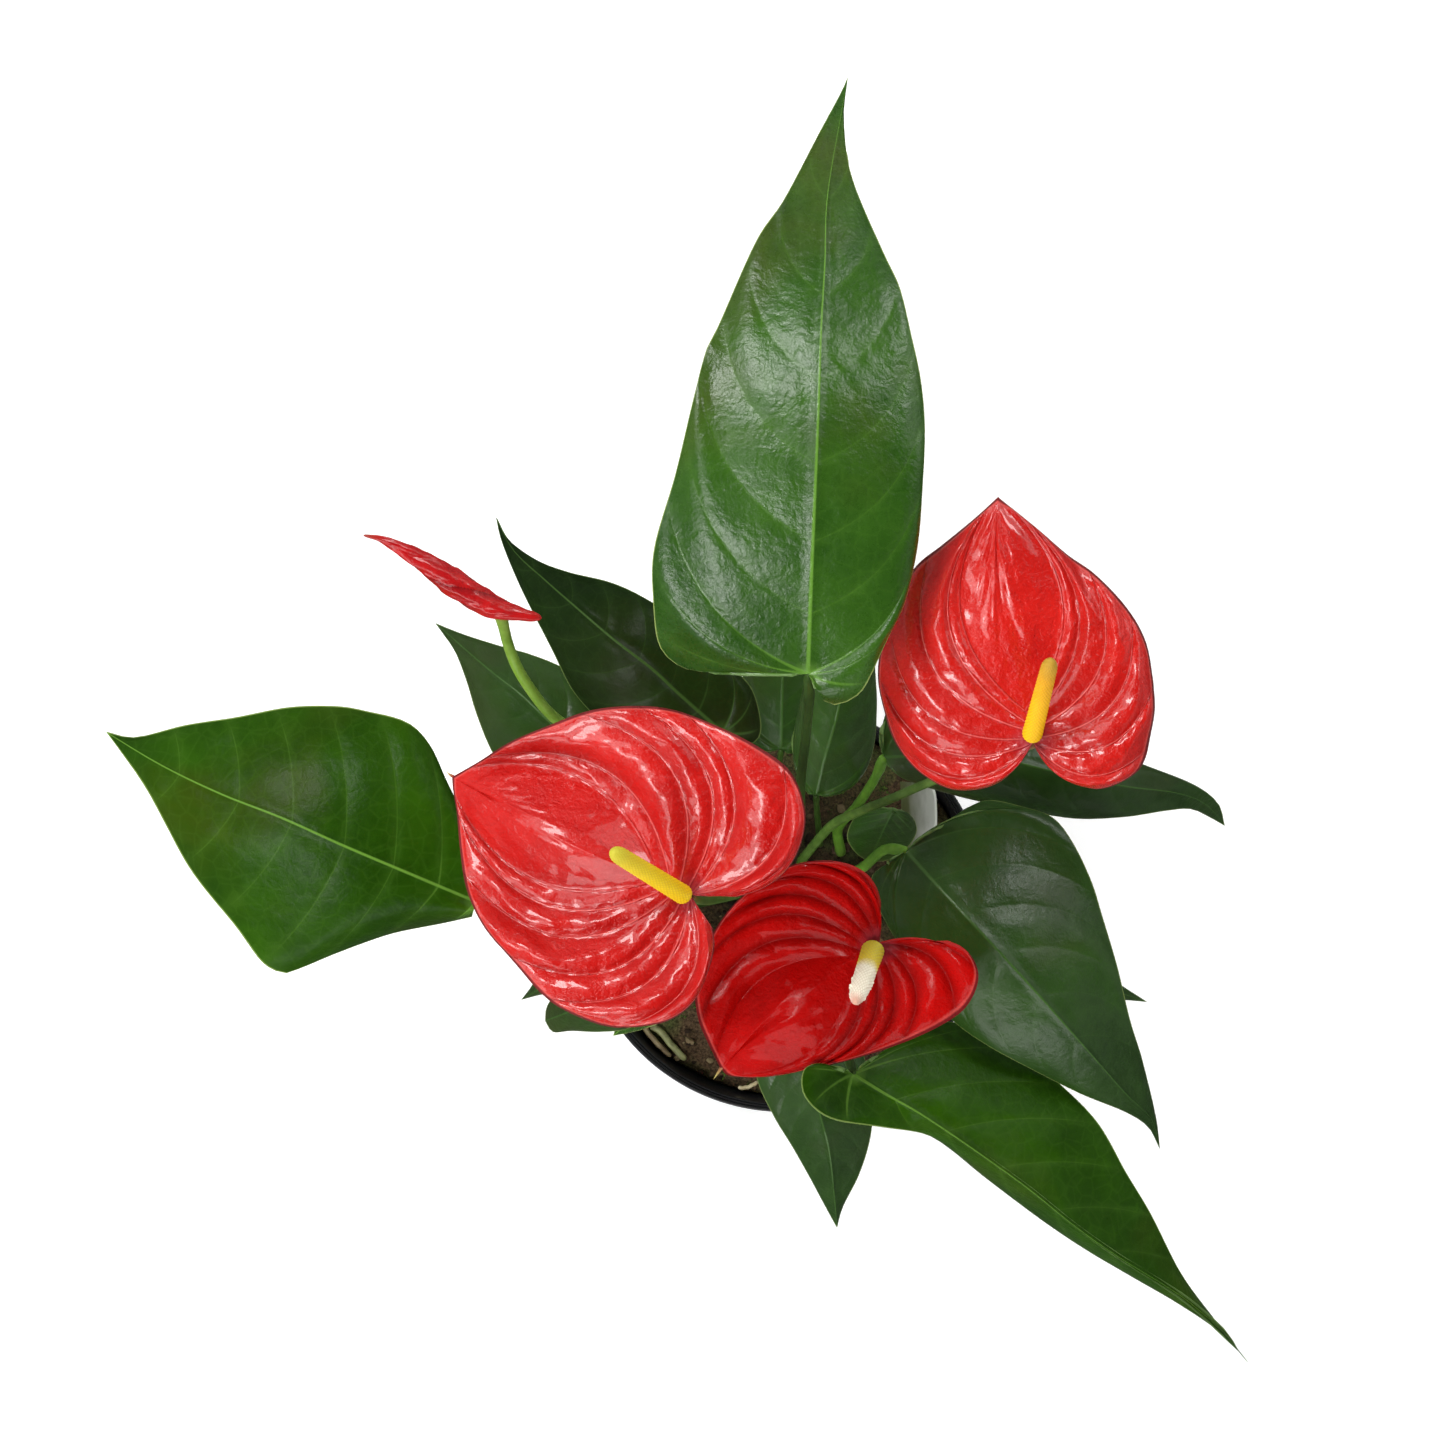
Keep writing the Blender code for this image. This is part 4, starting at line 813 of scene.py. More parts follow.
def leaf_finish(name, dark, mid, vein, edge, gloss, crinkle, shine):
    """Leaf skin: mottled green with lighter veins and a pale thin edge, duller and paler below."""
    finish = Finish(name, roughness=gloss, Specular_IOR_Level=shine)
    across = abs(finish.own("across"))
    ray = finish.own("ray_mm")
    phase = finish.own("phase")
    cell = finish.own("cell_mm")
    out = finish.own("out_mm")
    under = finish.own("under")
    from_vein = abs((phase - phase.sum("ROUND", phase))) * cell
    from_rib = across * ray
    from_edge = (1 - across) * ray
    wander = finish.cloud(60, 3)
    mottle = finish.cloud(26, 5, 0.6)
    fine = finish.cloud(420, 4, 0.65)
    blotch = finish.cloud(58, 4, 0.6, distortion=0.6)
    bronzed = finish.cloud(19, 3, 0.5).ramp(0.50, 0.64, 0, 0.55) * blotch.ramp(0.30, 0.60, 0.4, 1)
    bronze = (1.5 * mid[0], 0.62 * mid[1], 1.2 * mid[2])
    net = finish.cells(230, "DISTANCE_TO_EDGE")
    near_joint = out.ramp(3, 18, 1, 0)
    vein_width = 0.14 + near_joint * 0.22
    side_line = (from_vein / vein_width).ramp(0.5, 1.6, 0.85, 0) * across.ramp(0.75, 0.93, 1, 0)
    first_veins = phase.ramp(3.3, 3.7, 0.14, 0)
    side_line = side_line * (0.06 + 0.5 * near_joint + 0.2 * wander + first_veins)
    side_glow = from_vein.ramp(0.2, 2.6, 0.06, 0)
    rib_width = 0.14 + 0.26 * out.ramp(0, 110, 1, 0)
    rib_line = (from_rib / rib_width).ramp(0.6, 1.5, 0.95, 0)
    below = finish.mix(mottle.ramp(0.3, 0.7), (0.11, 0.20, 0.055), (0.16, 0.27, 0.08))
    finish.set("Base Color", finish.over(
        dark, (mottle.ramp(0.34, 0.68), mid), (fine.ramp(0.3, 0.75, 0, 0.35), mid),
        (blotch.ramp(0.30, 0.55, 0.45, 0), dark), (bronzed, bronze), (net.ramp(0.0, 0.09, 0.05, 0), vein),
        (side_glow, vein), (side_line, vein), (rib_line, vein), (out.ramp(0.8, 4, 0.7, 0), vein),
        (from_edge.ramp(0.2, 0.45, 0.85, 0), edge), (under, below)))
    finish.set("Roughness", gloss + 0.10 * fine - 0.05 * mottle + 0.15 * under)
    crumple = finish.cloud(300, 4, 0.55, distortion=0.3)
    pores = finish.cloud(1100, 3, 0.6)
    finish.bumps((crumple, crinkle * 0.42 * MM, 0.75), (net.ramp(0, 0.16), crinkle * 0.04 * MM, 0.5),
                 (pores, crinkle * 0.14 * MM, 0.6))
    return finish


LEAF_FINISHES = {
    "fresh": leaf_finish("fresh_leaf", (0.012, 0.050, 0.003), (0.034, 0.105, 0.007), (0.11, 0.25, 0.03),
                         (0.28, 0.36, 0.10), gloss=0.25, crinkle=1.0, shine=0.36),
    "grown": leaf_finish("grown_leaf", (0.009, 0.036, 0.001), (0.024, 0.082, 0.002), (0.11, 0.24, 0.03),
                         (0.22, 0.32, 0.08), gloss=0.27, crinkle=0.7, shine=0.06),
    # The shaded skin is a darker copy of the leaf skin: painted shade for the rear leaf that lies under the
    # others.
    "shaded": leaf_finish("shaded_leaf", (0.004, 0.011, 0.002), (0.009, 0.024, 0.003),
                          (0.035, 0.075, 0.015), (0.10, 0.15, 0.04),
                          gloss=0.30, crinkle=0.5, shine=0.08),
    "old": leaf_finish("old_leaf", (0.012, 0.036, 0.005), (0.028, 0.073, 0.011), (0.043, 0.108, 0.018),
                       (0.16, 0.22, 0.06), gloss=0.29, crinkle=0.7, shine=0.28),
}
LEAF_AGE_AND_SHADE = {"leaf_rear_tall": "fresh", "leaf_rear_dark": "shaded", "leaf_left": "grown",
            "leaf_front_long": "grown", "leaf_young_front": "fresh"}
LEAF_RELIEF = {
    "crowd": 1.35, "puff": 0.35, "puff_share": 0.035, "tip_puff": 1, "pillow": 0.7, "vein": 0, "ridge": 0.45,
    "ridge_width": 0.9, "curl": 0.5, "crease": 0.35, "rumple": 0.45, "wrinkle": 0.12, "ripple": 0, "pleat": 0,
    "blister": 0.3, "level": 0, "keel": 0.5, "tuck": 0.1,
}

# The leaf stalks: round green flesh, browner at the foot, where each rises from the crown in the peat, and
# a little swollen at the knee, where it grows into its blade.


def stalk_finish(name, dark, light):
    """Smooth green stalk skin, browner at its foot."""
    finish = Finish(name, roughness=0.36, Specular_IOR_Level=0.16)
    streak = finish.cloud(260, 4, 0.6)
    foot = finish.own("along").ramp(0.06, 0.30, 0.85, 0)
    finish.set("Base Color", finish.over(
        dark, (finish.cloud(35, 3).ramp(0.35, 0.7), light),
        (streak.ramp(0.45, 0.75, 0, 0.35), tuple(1.5 * part for part in light)), (foot, (0.08, 0.06, 0.025))))
    finish.bumps((streak, 0.12 * MM, 0.6))
    return finish


STALK_SLIM = 0.84
LIT_STALKS = ("leaf_right_narrow", "leaf_right_broad")
# The stalk skin comes in two copies: a darker one, painted shade, for the stalks under the leaves, and a
# lighter one, painted as lit, for the two right-hand stalks out in the open.
stalk_painted_shade = stalk_finish("stalk_skin_painted_shade", (0.022, 0.050, 0.009), (0.042, 0.090, 0.014))
stalk_lit = stalk_finish("stalk_skin_lit", (0.070, 0.170, 0.018), (0.120, 0.270, 0.028))


def stem_path(base, plan_points, end):
    """A stem's route in metres: up out of its hole in the peat, then through the plan points."""
    foot = Vector((base[0] * MM, base[1] * MM, SOIL_TOP - 20 * MM))
    rise = Vector((foot.x, foot.y, SOIL_TOP + 3.2 * MM))
    start = [foot, rise, rise + Vector((0, 0, 5 * MM))]
    return start + [Vector(spots(point)) for point in plan_points] + [end]


for name, entry in LEAVES.items():
    leaf = {**PLAIN_LEAF, **entry}
    ends = {-1: default_ends(leaf["basal"][0]), 1: default_ends(leaf["basal"][1])}
    rows_a_cell, columns = (6, 14) if leaf["small"] else (9, 22)
    bm = blade_bmesh(leaf, LEAF_RIB, ends, rows_a_cell, columns, BLADE, dict(LEAF_RELIEF, arch=leaf["arch"]))
    leaf_skin = LEAF_FINISHES[LEAF_AGE_AND_SHADE.get(name, "old")]
    piece_from(name.replace("leaf", "blade"), bm, leaf_skin, 70, [name])
    foot, top_radius = leaf["stalk_radius"]
    end = Vector(spots(leaf["joint"])) + Vector((0, 0, 0.5 * MM))

    def stalk_radius(share):
        knee = 0.22 * math.exp(-((share - 0.95) / 0.035) ** 2)
        sheath = 0.3 * max(0, 1 - share / 0.22)
        tapered = STALK_SLIM * (foot + (top_radius - foot) * share)
        return tapered * (1 + knee + sheath) * MM * rounded_ends(share, 0.004, 0.012)

    bm = rod(stem_path(leaf["base"], leaf["stalk"], end), stalk_radius, sides=16, rows=84,
             fine_ends=True)
    stalk_skin = stalk_lit if name in LIT_STALKS else stalk_painted_shade
    piece_from(name.replace("leaf", "stalk"), bm, stalk_skin, 60)

# The bloom stems: round, smooth and leafless, of the same flesh as the leaf stalks. Each rises from the
# crown in the peat and has grown together with the one spathe that it carries.
BLOOMS = {
    "left": {
        "joint": (690, 895, 300), "tip": (452, 777, 286), "base": (-4, 7), "stalk_radius": (2.0, 1.6),
        "spadix_foot": (684, 895, 302.5), "spadix_tip": (612, 851, 327), "spadix_radius": (2.4, 2.0),
        "left_ends": [0.15, 0.32, 0.485, 0.61, 0.8, 0.925],
        "right_ends": [0.16, 0.325, 0.53, 0.62, 0.73, 0.93],
        "rib": [(649, 875, 303), (595, 855, 305), (544, 831, 303), (503, 805, 297)],
        "left": [(713, 930, 303), (714, 950, 304), (704, 983, 306), (690, 1006, 306), (670, 1020, 306),
            (646, 1026, 306), (610, 1027, 305), (576, 1016, 304), (545, 997, 303), (513, 961, 301),
            (484, 927, 299), (467, 891, 296), (460, 850, 293), (457, 815, 290), (453, 790, 287)],
        "right": [(738, 897, 303), (762, 889, 305), (781, 876, 307), (795, 858, 308), (804, 833, 309),
            (805, 809, 310), (797, 783, 310), (783, 764, 310), (750, 742, 309), (710, 723, 308),
            (670, 709, 307), (630, 706, 306), (588, 711, 305), (545, 727, 302), (510, 742, 298),
            (478, 762, 291)],
        "stalk": [(710, 900, 200)],
    },
    "right": {
        "joint": (1033, 743, 285), "tip": (998, 497, 292), "base": (5, 11), "stalk_radius": (2.0, 1.5),
        "spadix_foot": (1032, 735, 286.8), "spadix_tip": (1051, 660, 316), "spadix_radius": (2.5, 1.9),
        "left_ends": [0.16, 0.34, 0.5, 0.63, 0.8, 0.95],
        "right_ends": [0.14, 0.29, 0.435, 0.605, 0.745, 0.93],
        "rib": [(1020, 690, 287), (1005, 627, 290), (999, 580, 292), (996, 532, 293)],
        "left": [(1020, 764, 283), (1003, 780, 281), (981, 789, 280), (950, 789, 279), (923, 775, 278),
            (905, 757, 277), (892, 736, 276), (884, 710, 276), (878, 680, 276), (880, 650, 277),
            (888, 620, 279), (900, 590, 281), (918, 564, 284), (942, 545, 287), (975, 518, 291)],
        "right": [(1046, 762, 284), (1068, 780, 284), (1097, 789, 284), (1124, 781, 285), (1143, 764, 285),
            (1152, 729, 286), (1155, 705, 287), (1152, 671, 288), (1146, 642, 289), (1134, 618, 290),
            (1118, 597, 290), (1094, 573, 291), (1068, 555, 291), (1038, 529, 292)],
        "stalk": [(801, 862, 107), (809, 851, 126), (832, 825, 165), (856, 813, 190), (893, 798, 222),
            (930, 782, 242), (985, 762, 261), (1020, 750, 273)],
    },
    "front": {
        "joint": (879, 944, 243), "tip": (721, 1069, 222), "base": (11, 5), "stalk_radius": (2.0, 1.6),
        "spadix_foot": (873, 950, 244.3), "spadix_tip": (855, 1003, 266), "spadix_radius": (3.0, 2.3),
        "point": 0.3, "knobs": 0.9, "left_ends": [0.14, 0.29, 0.43, 0.575, 0.71, 0.86],
        "right_ends": [0.12, 0.28, 0.46, 0.6, 0.735, 0.9],
        "relief": {"puff": 2.7, "puff_share": 0.15, "pillow": 0.9, "vein": 0.05, "crease": 0.5,
            "rumple": 0.6, "wrinkle": 0.1, "pleat": 0, "ripple": 0.2, "blister": 0.3},
        "rib": [(848, 962, 243), (802, 997, 240), (762, 1028, 233)],
        "left": [(881, 903, 246), (876, 887, 248), (865, 873, 249), (847, 864, 250), (823, 861, 250),
            (790, 866, 249), (755, 885, 247), (725, 915, 245), (705, 950, 242), (695, 985, 238),
            (698, 1018, 233), (708, 1043, 228)],
        "right": [(950, 942, 248), (964, 949, 249), (975, 962, 250), (978, 982, 248), (966, 1007, 244),
            (940, 1026, 240), (900, 1044, 235), (850, 1060, 229), (805, 1070, 225), (765, 1077, 223),
            (731, 1076, 222)],
        "stalk": [(868, 935, 190)],
    },
}

BUD = {
    "base": (-9, 25), "joint": (501, 614, 270.6),
    "stalk": [(720, 800, 172), (690, 783, 195), (655, 765, 212), (600, 741, 230), (556, 719, 241),
              (525, 681, 253), (510, 650, 260)],
    "stalk_radius": (2.0, 1.5), "slim": 0.9, "drop": -1.6,
    "axis": [(363, 535, 289), (385, 540, 287), (418, 558, 283), (455, 583, 278), (490, 606, 274.5),
             (520, 614, 272.5), (542, 618, 271.5)],
    "radii": [0.3, 1.2, 2.5, 3.5, 3.4, 2.2, 1.0],
}


def bloom_stem_finish(name, dark, light, streaked, top):
    """Smooth streaked stem skin, tinted towards the bloom."""
    finish = Finish(name, roughness=0.34, Specular_IOR_Level=0.2)
    streak = finish.cloud(240, 4, 0.6)
    finish.set("Base Color", finish.over(
        dark, (finish.cloud(30, 3).ramp(0.35, 0.7), light),
        (finish.own("along").ramp(0.955, 1.0, 0, 0.7), top), (streak.ramp(0.45, 0.75, 0, 0.4), streaked)))
    finish.bumps((streak, 0.1 * MM, 0.6))
    return finish


ripe_stem_skin = bloom_stem_finish("ripe_stem_skin", (0.050, 0.105, 0.016), (0.085, 0.165, 0.024),
                                   (0.20, 0.33, 0.08), (0.30, 0.08, 0.05))
young_stem_skin = bloom_stem_finish("young_stem_skin", (0.115, 0.22, 0.018), (0.17, 0.31, 0.03),
                                    (0.30, 0.45, 0.09), (0.22, 0.33, 0.05))

BLOOM_STEM_SLIM = 0.72
for name, bloom in [*BLOOMS.items(), ("bud", BUD)]:
    end = Vector(spots(bloom["joint"])) - Vector((0, 0, bloom.get("drop", 0.3) * MM))
    foot, top_radius = bloom["stalk_radius"]
    slim = bloom.get("slim", BLOOM_STEM_SLIM)

    def bloom_stem_radius(share):
        swollen = 0.35 * max(0, (share - 0.965) / 0.035) ** 2
        tapered = slim * (foot + (top_radius - foot) * share)
        return tapered * (1 + swollen) * MM * rounded_ends(share, 0.004, 0.006)

    bm = rod(stem_path(bloom["base"], bloom["stalk"], end), bloom_stem_radius, sides=16, rows=90,
             fine_ends=True)
    stem_skin = young_stem_skin if name == "bud" else ripe_stem_skin
    piece_from("bloom_stem_" + name, bm, stem_skin, 60, ["stem_" + name])

# The spathes: waxy red heart-shaped leaves, each grown out of the top of its stem behind the spike. The
# skin is puffed between deep curved veins that leave the joint together, and it ends in a thin rolled edge
# painted dark as shade, with a painted highlight just inside it.
SPATHE = 0.8 * MM
SPATHE_RIB = (0, 0, 0, 0.02, 0.05, 0.08, 0.13)
LAST_VEIN = 0.968
SPATHE_LIE = {"bow": 0.26, "wave": 0.8, "waves": 4}
SPATHE_RELIEF = {
    "arch": 3, "crowd": 1.15, "puff": 2.4, "puff_share": 0.16, "tip_puff": 0.5, "pillow": 0.85, "vein": 0.35,
    "ridge": 0.25, "ridge_width": 0.7, "curl": 0.9, "crease": 0.4, "rumple": 0.7, "wrinkle": 0.4,
    "ripple": 1.2, "pleat": 0.6, "blister": 0.8, "level": 1, "keel": 0.2, "tuck": 0.4,
}


def spathe_finish(name, deep, bright, gloss, coat, shine, lines, grain):
    """Waxed red skin with a fine pebbled surface. Painted shade darkens its vein grooves, the hollows beside
    them and its rolled edge. The pale vein lines are partly painted highlight, and the pale line just inside
    the edge is painted highlight.
    """
    finish = Finish(name, roughness=gloss, Coat_Roughness=0.07, Specular_IOR_Level=shine)
    across = abs(finish.own("across"))
    ray = finish.own("ray_mm")
    phase = finish.own("phase")
    from_vein = abs(phase - phase.sum("ROUND", phase)) * finish.own("cell_mm")
    from_edge = (1 - across) * ray
    out = finish.own("out_mm")
    under = finish.own("under")
    mottle = finish.cloud(45, 4, 0.6)
    fine = finish.cloud(520, 4, 0.65)
    before_tip = phase.ramp(6.2, 6.8, 1, 0.2)
    # Painted shade: the vein grooves and the hollows beside them are painted darker.
    groove_shade = from_vein.ramp(0.0, 0.7, 0.45, 0) * before_tip * across.ramp(0.9, 0.98, 1, 0)
    hollow = from_vein.ramp(0.2, 3.0, 0.6 * (1 - lines), 0) * before_tip
    # Pale lines on the veins: partly the veins' own paler colour, partly painted highlight along their
    # ridges.
    line = from_vein.ramp(0.10, 0.26, lines, 0) * before_tip * across.ramp(0.80, 0.95, 1, 0)
    finish.set("Base Color", finish.over(
        deep, (mottle.ramp(0.35, 0.68), bright), (groove_shade, (0.36, 0.006, 0.008)),
        (hollow, tuple(0.4 * part for part in deep)), (line, (0.75, 0.10, 0.09)),
        (out.ramp(1.0, 6.0, 0.6, 0), (0.32, 0.05, 0.07)),
        # A pale painted highlight just inside the edge, and the rolled edge itself in painted shade.
        (from_edge.ramp(1.0, 1.7, 0.35, 0), (0.75, 0.14, 0.12)),
        (from_edge.ramp(0.6, 1.05, 0.9, 0), (0.10, 0.005, 0.007)), (under, (0.42, 0.02, 0.02))))
    finish.set("Roughness", gloss + 0.08 * fine + 0.12 * under + from_edge.ramp(0.6, 1.2, 0.5, 0))
    finish.set("Coat Weight", from_edge.ramp(0.8, 1.4, 0, coat))
    pebble = finish.cloud(260, 3, 0.6, distortion=0.5)
    crackle = finish.cloud(800, 3, 0.6)
    pores = finish.cloud(1900, 2, 0.6)
    finish.bumps((pebble, 0.9 * MM, 0.7), (crackle, grain * 0.36 * MM, 0.9), (pores, grain * 0.09 * MM, 0.9),
                 (from_vein.ramp(0.05, 0.35, 1, 0), 0.25 * lines * MM, 0.9))
    return finish


SPATHE_FINISHES = {
    "left": spathe_finish("waxed_red", (0.42, 0.005, 0.004), (0.55, 0.011, 0.008),
                          gloss=0.21, coat=0.45, shine=0.22, lines=0.75, grain=1.1),
    "right": spathe_finish("waxed_red_bright", (0.45, 0.006, 0.004), (0.58, 0.012, 0.008),
                           gloss=0.19, coat=0.6, shine=0.22, lines=0.85, grain=1.3),
    "front": spathe_finish("old_red", (0.32, 0.002, 0.0015), (0.47, 0.003, 0.0025),
                           gloss=0.27, coat=0.10, shine=0.02, lines=0.05, grain=0.9),
}
for name, bloom in BLOOMS.items():
    ends = {-1: bloom["left_ends"] + [LAST_VEIN], 1: bloom["right_ends"] + [LAST_VEIN]}
    relief = {**SPATHE_RELIEF, **bloom.get("relief", {})}
    bm = blade_bmesh({**bloom, **SPATHE_LIE}, SPATHE_RIB, ends, rows_a_cell=17, columns=40,
                     thickness=SPATHE, relief=relief)
    piece_from("waxed_heart_" + name, bm, SPATHE_FINISHES[name], 80, ["spathe_" + name])

# The cusps: the thin points that the left and the front spathe have grown at their tips. They have dried
# from red over brown to a dull yellow.
CUSPS = (("left", [(454, 777, 286), (449, 774, 285.4), (446, 770, 285)], 0.45),
         ("front", [(725, 1064, 222.0), (720, 1070, 221.6), (713, 1080, 220.5)], 0.7))
cusp_skin = Finish("cusp_skin", roughness=0.5)
cusp_skin.set("Base Color", cusp_skin.bands([(0, (0.35, 0.02, 0.015)), (0.35, (0.30, 0.13, 0.03)),
                                             (0.8, (0.45, 0.38, 0.08)), (1, (0.2, 0.12, 0.04))],
                                            cusp_skin.own("along")))
for name, points, radius in CUSPS:
    bm = rod(spots(points), lambda share: radius * MM * (1.02 - share) * rounded_ends(share, 0.05, 0),
             sides=10, rows=20)
    piece_from("cusp_" + name, bm, cusp_skin, 60)

# The spikes: each spadix is a fleshy rod packed with tiny florets in crossing spirals. It is the end of the
# stem itself, so it stands in the joint of its spathe.
FLORETS_ROUND = 18
FLORET = 0.75
FLORET_HEIGHT = 0.13
ROWS_A_FLORET = 5
SPIKE_SIDES = 108
SPIKE_SLIM = 0.96


def spadix_finish(name, stops, speck):
    """Floret skin: coloured from foot to tip, paler on each floret's crown."""
    finish = Finish(name, roughness=0.5, Specular_IOR_Level=0.2)
    crown = finish.own("crown")
    colour = finish.bands(stops, finish.own("along") + 0.06 * (finish.cloud(300, 3) - 0.5))
    colour = finish.mix(crown.ramp(0.1, 0.7, 0.42, 0), colour, speck)
    finish.set("Base Color", colour)
    finish.bumps((finish.cloud(1600, 3), 0.16 * MM, 0.8))
    return finish


def write_layer(bm, name, value_at):
    """Writes on each vertex of a rod what value_at gives at (share of a turn, share of the length)."""
    layer = bm.verts.layers.float.new(name)
    turn, along = bm.verts.layers.float["turn"], bm.verts.layers.float["along"]
    for vert in bm.verts:
        vert[layer] = value_at(vert[turn], vert[along])


SPIKES = {
    "left": ([(0, (0.90, 0.62, 0.01)), (0.5, (0.86, 0.62, 0.015)), (0.85, (0.74, 0.58, 0.03)),
              (1, (0.50, 0.47, 0.04))], (0.55, 0.33, 0.01)),
    "right": ([(0, (0.95, 0.56, 0.005)), (0.5, (0.90, 0.47, 0.005)), (0.8, (0.74, 0.36, 0.01)),
               (1, (0.45, 0.27, 0.03))], (0.45, 0.20, 0.01)),
    "front": ([(0, (0.55, 0.50, 0.03)), (0.36, (0.74, 0.60, 0.04)), (0.48, (0.95, 0.91, 0.72)),
               (0.88, (0.93, 0.87, 0.72)), (1, (0.70, 0.36, 0.28))], (0.42, 0.30, 0.12)),
}
for name, (stops, speck) in SPIKES.items():
    bloom = BLOOMS[name]
    thick, thin = bloom["spadix_radius"]
    low, high = Vector(spots(bloom["spadix_foot"])), Vector(spots(bloom["spadix_tip"]))
    low -= (high - low).normalized() * SPATHE * 1.6
    length_mm = (high - low).length / MM
    rows_of_florets = round(length_mm / FLORET)

    def floret(turn, along):
        """How far a floret's crown stands out, from 0 in the seams to 1."""
        v = along * rows_of_florets
        u = turn * FLORETS_ROUND
        one = abs((u + v / 2) % 1 - 0.5) * 2
        other = abs((u - v / 2) % 1 - 0.5) * 2
        return min(1, 1.6 * (1 - max(one, other)))

    def knob(turn, along):
        """How far old stigmas stand out of the florets in the outer half."""
        round_here = math.tau * turn
        lump = noise.noise((1.7 * math.cos(round_here), 1.7 * math.sin(round_here), along * length_mm / 1.1))
        return max(0, lump - 0.3) * min(1, max(0, (along - 0.42) / 0.06)) * rounded_ends(along, 0, 0.15)

    def spadix_radius(share):
        tapered = (thick + (thin - thick) * share) * MM
        return tapered * rounded_ends(share, 0.06, bloom.get("point", 0.11)) * SPIKE_SLIM

    route = [low.lerp(high, share) for share in (0, 0.25, 0.5, 0.75, 1)]

    def florets_and_knobs(turn, along):
        florets = FLORET_HEIGHT * floret(turn, along) * rounded_ends(along, 0.05, 0.08)
        return (florets + bloom.get("knobs", 0) * knob(turn, along)) * MM

    bm = rod(route, spadix_radius, SPIKE_SIDES, rows_of_florets * ROWS_A_FLORET, florets_and_knobs)
    write_layer(bm, "crown", floret)
    floret_skin = spadix_finish("florets_" + name, stops, speck)
    piece_from("spike_" + name, bm, floret_skin, 80, ["spadix_" + name])

# The bud: a young spathe still rolled round its spike, one edge lapping over the other down its length. It
# has grown level out of the end of its arched stem.
bud_red = Finish("bud_red", roughness=0.26, Coat_Weight=0.5, Coat_Roughness=0.08, Specular_IOR_Level=0.25)
bud_red.set("Base Color", bud_red.over(
    (0.36, 0.004, 0.006), (bud_red.cloud(90, 4, 0.6).ramp(0.35, 0.7), (0.54, 0.012, 0.012)),
    # Painted shade: the skin is painted darker just under the lapping edge.
    (bud_red.own("lap").ramp(0.0, 0.12, 0.8, 0), (0.14, 0.004, 0.006)),
    (bud_red.own("along").ramp(0.0, 0.10, 0.7, 0), (0.20, 0.05, 0.03))))
bud_red.bumps((bud_red.cloud(380, 3, 0.6), 0.6 * MM, 0.8), (bud_red.cloud(1000, 3, 0.6), 0.25 * MM, 0.8))
bud_radii = BUD["radii"]
BUD_LAP = 0.42
BUD_SUNK = 0.25


def bud_radius(share):
    at = share * (len(bud_radii) - 1)
    return float(np.interp(at, range(len(bud_radii)), bud_radii)) * MM * rounded_ends(share, 0.02, 0.05)


def bud_lap(turn, along):
    """0 just past the lapping edge, and 1 as it comes round to it again."""
    return (turn + 1.1 * along + 0.15) % 1


def bud_folds(turn, along):
    """Long shallow folds that wind round the bud, with small dents between them."""
    wound = math.tau * (turn + 0.7 * along)
    long_fold = noise.noise((1.2 * math.cos(wound), 1.2 * math.sin(wound), 3 * along))
    dent = noise.noise((2.4 * math.cos(wound), 2.4 * math.sin(wound), 18 * along))
    return 0.75 * long_fold + 0.3 * dent


def bud_swell(turn, along):
    raised = BUD_LAP * bud_lap(turn, along) + bud_folds(turn, along) - BUD_SUNK
    return raised * MM * math.sin(math.pi * along) ** 0.7


bm = rod(spots(BUD["axis"]), bud_radius, sides=60, rows=130, swell=bud_swell)
write_layer(bm, "lap", bud_lap)
piece_from("rolled_bud", bm, bud_red, 60, ["spathe_bud"])

# The stage: a pale floor under a pale dome, lit by four wide soft lamps and three small bright ones, whose
# glints sit on the waxed hearts. The camera looks straight down. The floor glows a little more towards the
# dome, where the lamps no longer reach it.
STAGE_RADIUS = 12


def stage_piece(name, bm, paint):
    """A piece of the studio, which isn't part of the plant."""
    mesh = mesh_from(name, bm)
    mesh.materials.append(paint.material)
    thing = linked(name, mesh)
    thing.visible_glossy = False
    return thing


floor_paint = Finish("floor_paint", roughness=0.8, Specular_IOR_Level=0)
floor_paint.set("Base Color", (0.97, 0.97, 0.97))
far_out = floor_paint.node("ShaderNodeVectorMath", {"operation": "LENGTH"}, {0: floor_paint.place()},
                           output=1)
floor_glow = floor_paint.mix(far_out.ramp(0.4, 2.2), (0.18, 0.18, 0.18), (0.92, 0.92, 0.92))
floor_paint.set("Emission Color", floor_glow)
floor_paint.set("Emission Strength", 1.0)
bm = bmesh.new()
bmesh.ops.create_circle(bm, cap_ends=True, segments=64, radius=STAGE_RADIUS)
bmesh.ops.translate(bm, verts=bm.verts, vec=(0, 0, -0.5 * MM))
stage_piece("floor", bm, floor_paint)

dome_paint = Finish("dome_paint", roughness=1, Specular_IOR_Level=0)
dome_paint.set("Emission Color", (1.0, 1.0, 1.0))
dome_paint.set("Emission Strength", 1.0)
bm = bmesh.new()
bmesh.ops.create_uvsphere(bm, u_segments=48, v_segments=24, radius=STAGE_RADIUS)
bmesh.ops.reverse_faces(bm, faces=bm.faces)
dome = stage_piece("dome", bm, dome_paint)
dome.visible_diffuse = False
dome.visible_shadow = False
dome.visible_transmission = False

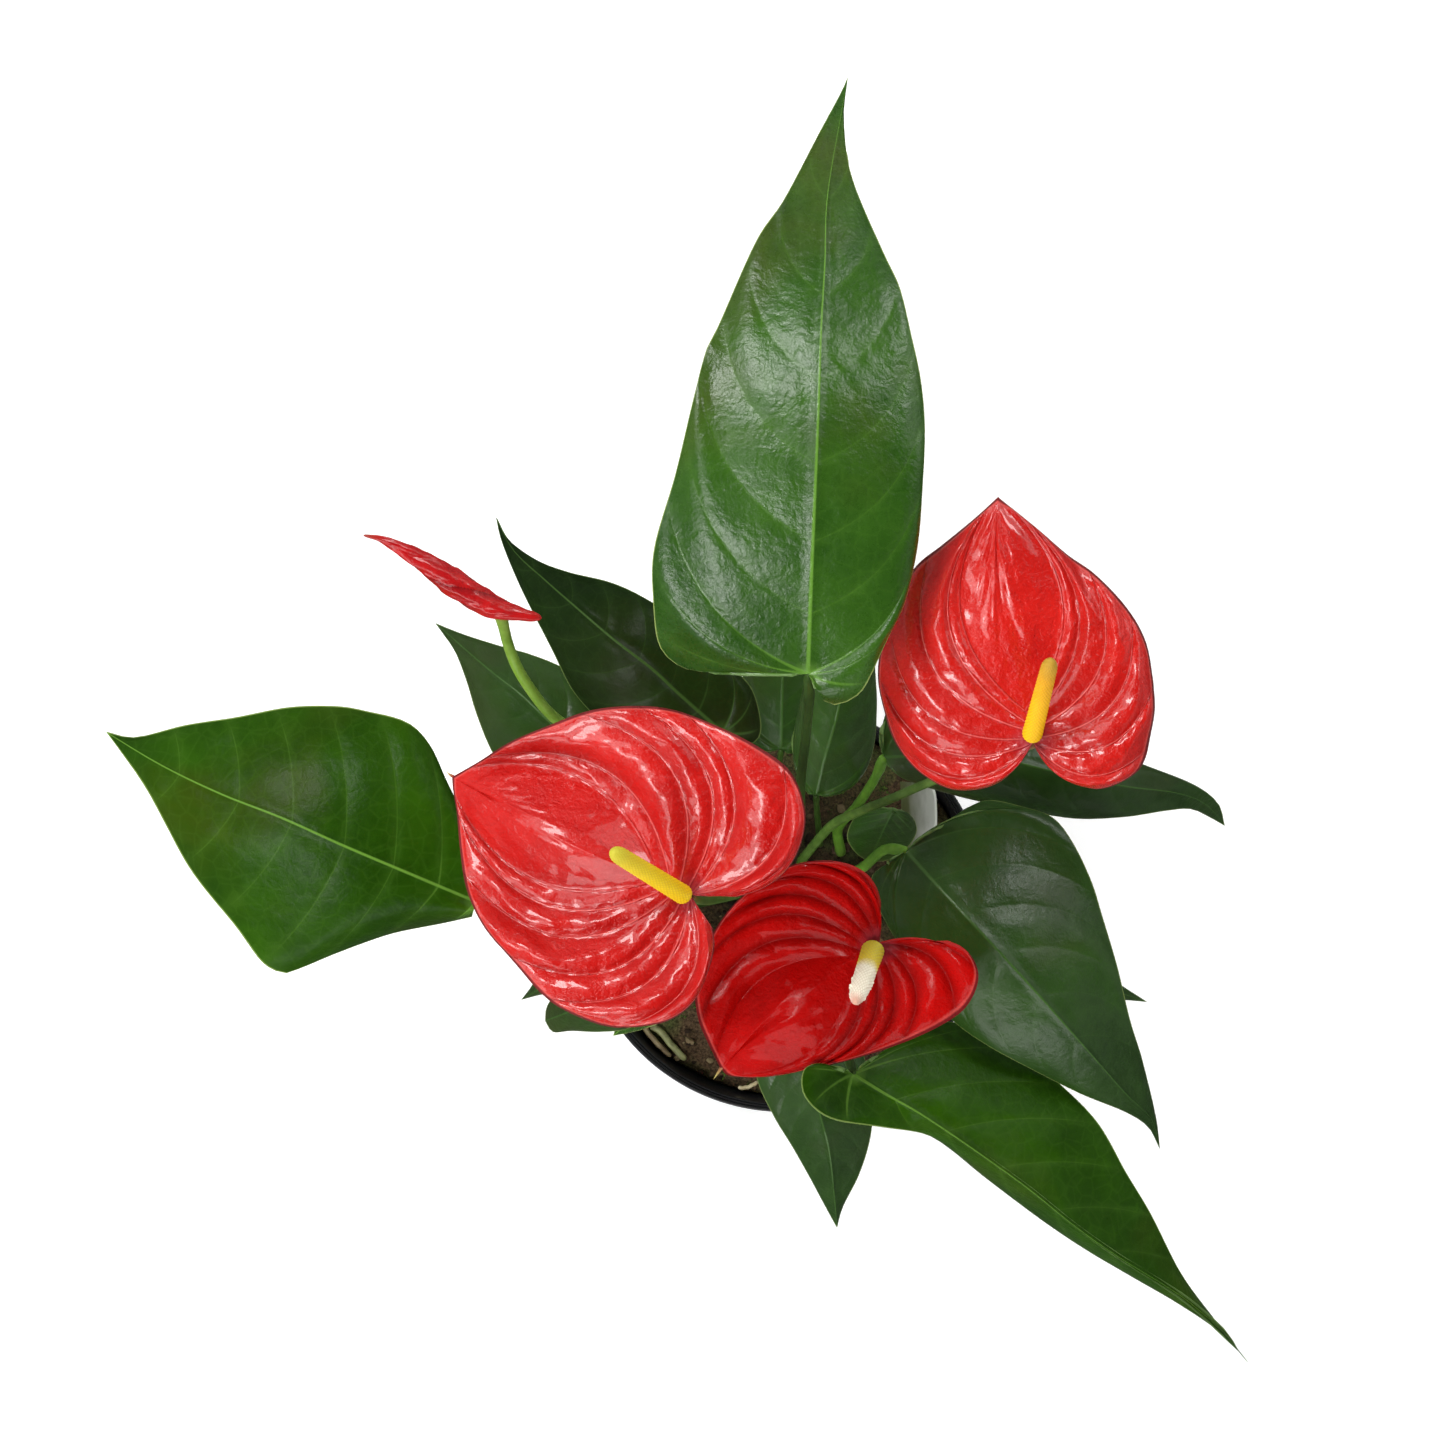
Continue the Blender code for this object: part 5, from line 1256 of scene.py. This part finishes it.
bpy.context.scene.view_settings.view_transform = "Standard"
world = bpy.data.worlds.new("surround")
world.use_nodes = True
sky = world.node_tree.nodes
direction = sky.new("ShaderNodeTexCoord")
parts = sky.new("ShaderNodeSeparateXYZ")
rise = sky.new("ShaderNodeMapRange")
for socket, value in enumerate((-1, 1, 0, 1), 1):
    rise.inputs[socket].default_value = value
shade = sky.new("ShaderNodeValToRGB")
for place, bright in ((0.46, 0.08), (0.52, 0.6), (0.60, 0.5), (0.75, 0.05)):
    element = shade.color_ramp.elements.new(place)
    element.color = (bright, bright, bright, 1)
shade.color_ramp.elements[0].color = (0.08, 0.08, 0.08, 1)
shade.color_ramp.elements[-1].color = (0.05, 0.05, 0.05, 1)
world.node_tree.links.new(direction.outputs["Generated"], parts.inputs[0])
world.node_tree.links.new(parts.outputs["Z"], rise.inputs[0])
world.node_tree.links.new(rise.outputs[0], shade.inputs[0])
world.node_tree.links.new(shade.outputs[0], sky["Background"].inputs["Color"])
bpy.context.scene.world = world

LAMPS = {
    "lamp_rear_left": (142, 40, (1.6, 1.1), 17),
    "lamp_rear_right": (35, 57, (2.2, 0.7), 10),
    "lamp_left": (220, 42, (1.3, 0.9), 19),
    "lamp_front": (262, 76, (1.6, 0.6), 14),
    "key_rear_left": (122, 36, (0.5, 0.4), 15),
    "key_rear_right": (45, 50, (0.4, 0.4), 7),
    "key_left": (222, 40, (0.4, 0.35), 8),
}
LAMP_REACH = 2
LAMP_AIM = Vector((0, 0.03, 0.25))
for name, (azimuth, polar, size, power) in LAMPS.items():
    lamp = bpy.data.lights.new(name, "AREA")
    lamp.shape = "RECTANGLE"
    lamp.size, lamp.size_y = size
    lamp.energy = power
    thing = linked(name, lamp)
    azimuth, polar = math.radians(azimuth), math.radians(polar)
    level_way = math.sin(polar)
    outward = Vector((level_way * math.cos(azimuth), level_way * math.sin(azimuth), math.cos(polar)))
    thing.location = LAMP_AIM + outward * LAMP_REACH
    thing.rotation_euler = outward.to_track_quat("Z", "Y").to_euler()
    thing.visible_camera = False

SENSOR = 36
camera = bpy.data.cameras.new("camera")
camera.sensor_width = SENSOR
camera.lens = SENSOR * (EYE.z - POT_HEIGHT) / (PLAN_WIDTH * RIM_PIXEL)
eye = linked("camera", camera)
eye.location = EYE
bpy.context.scene.camera = eye
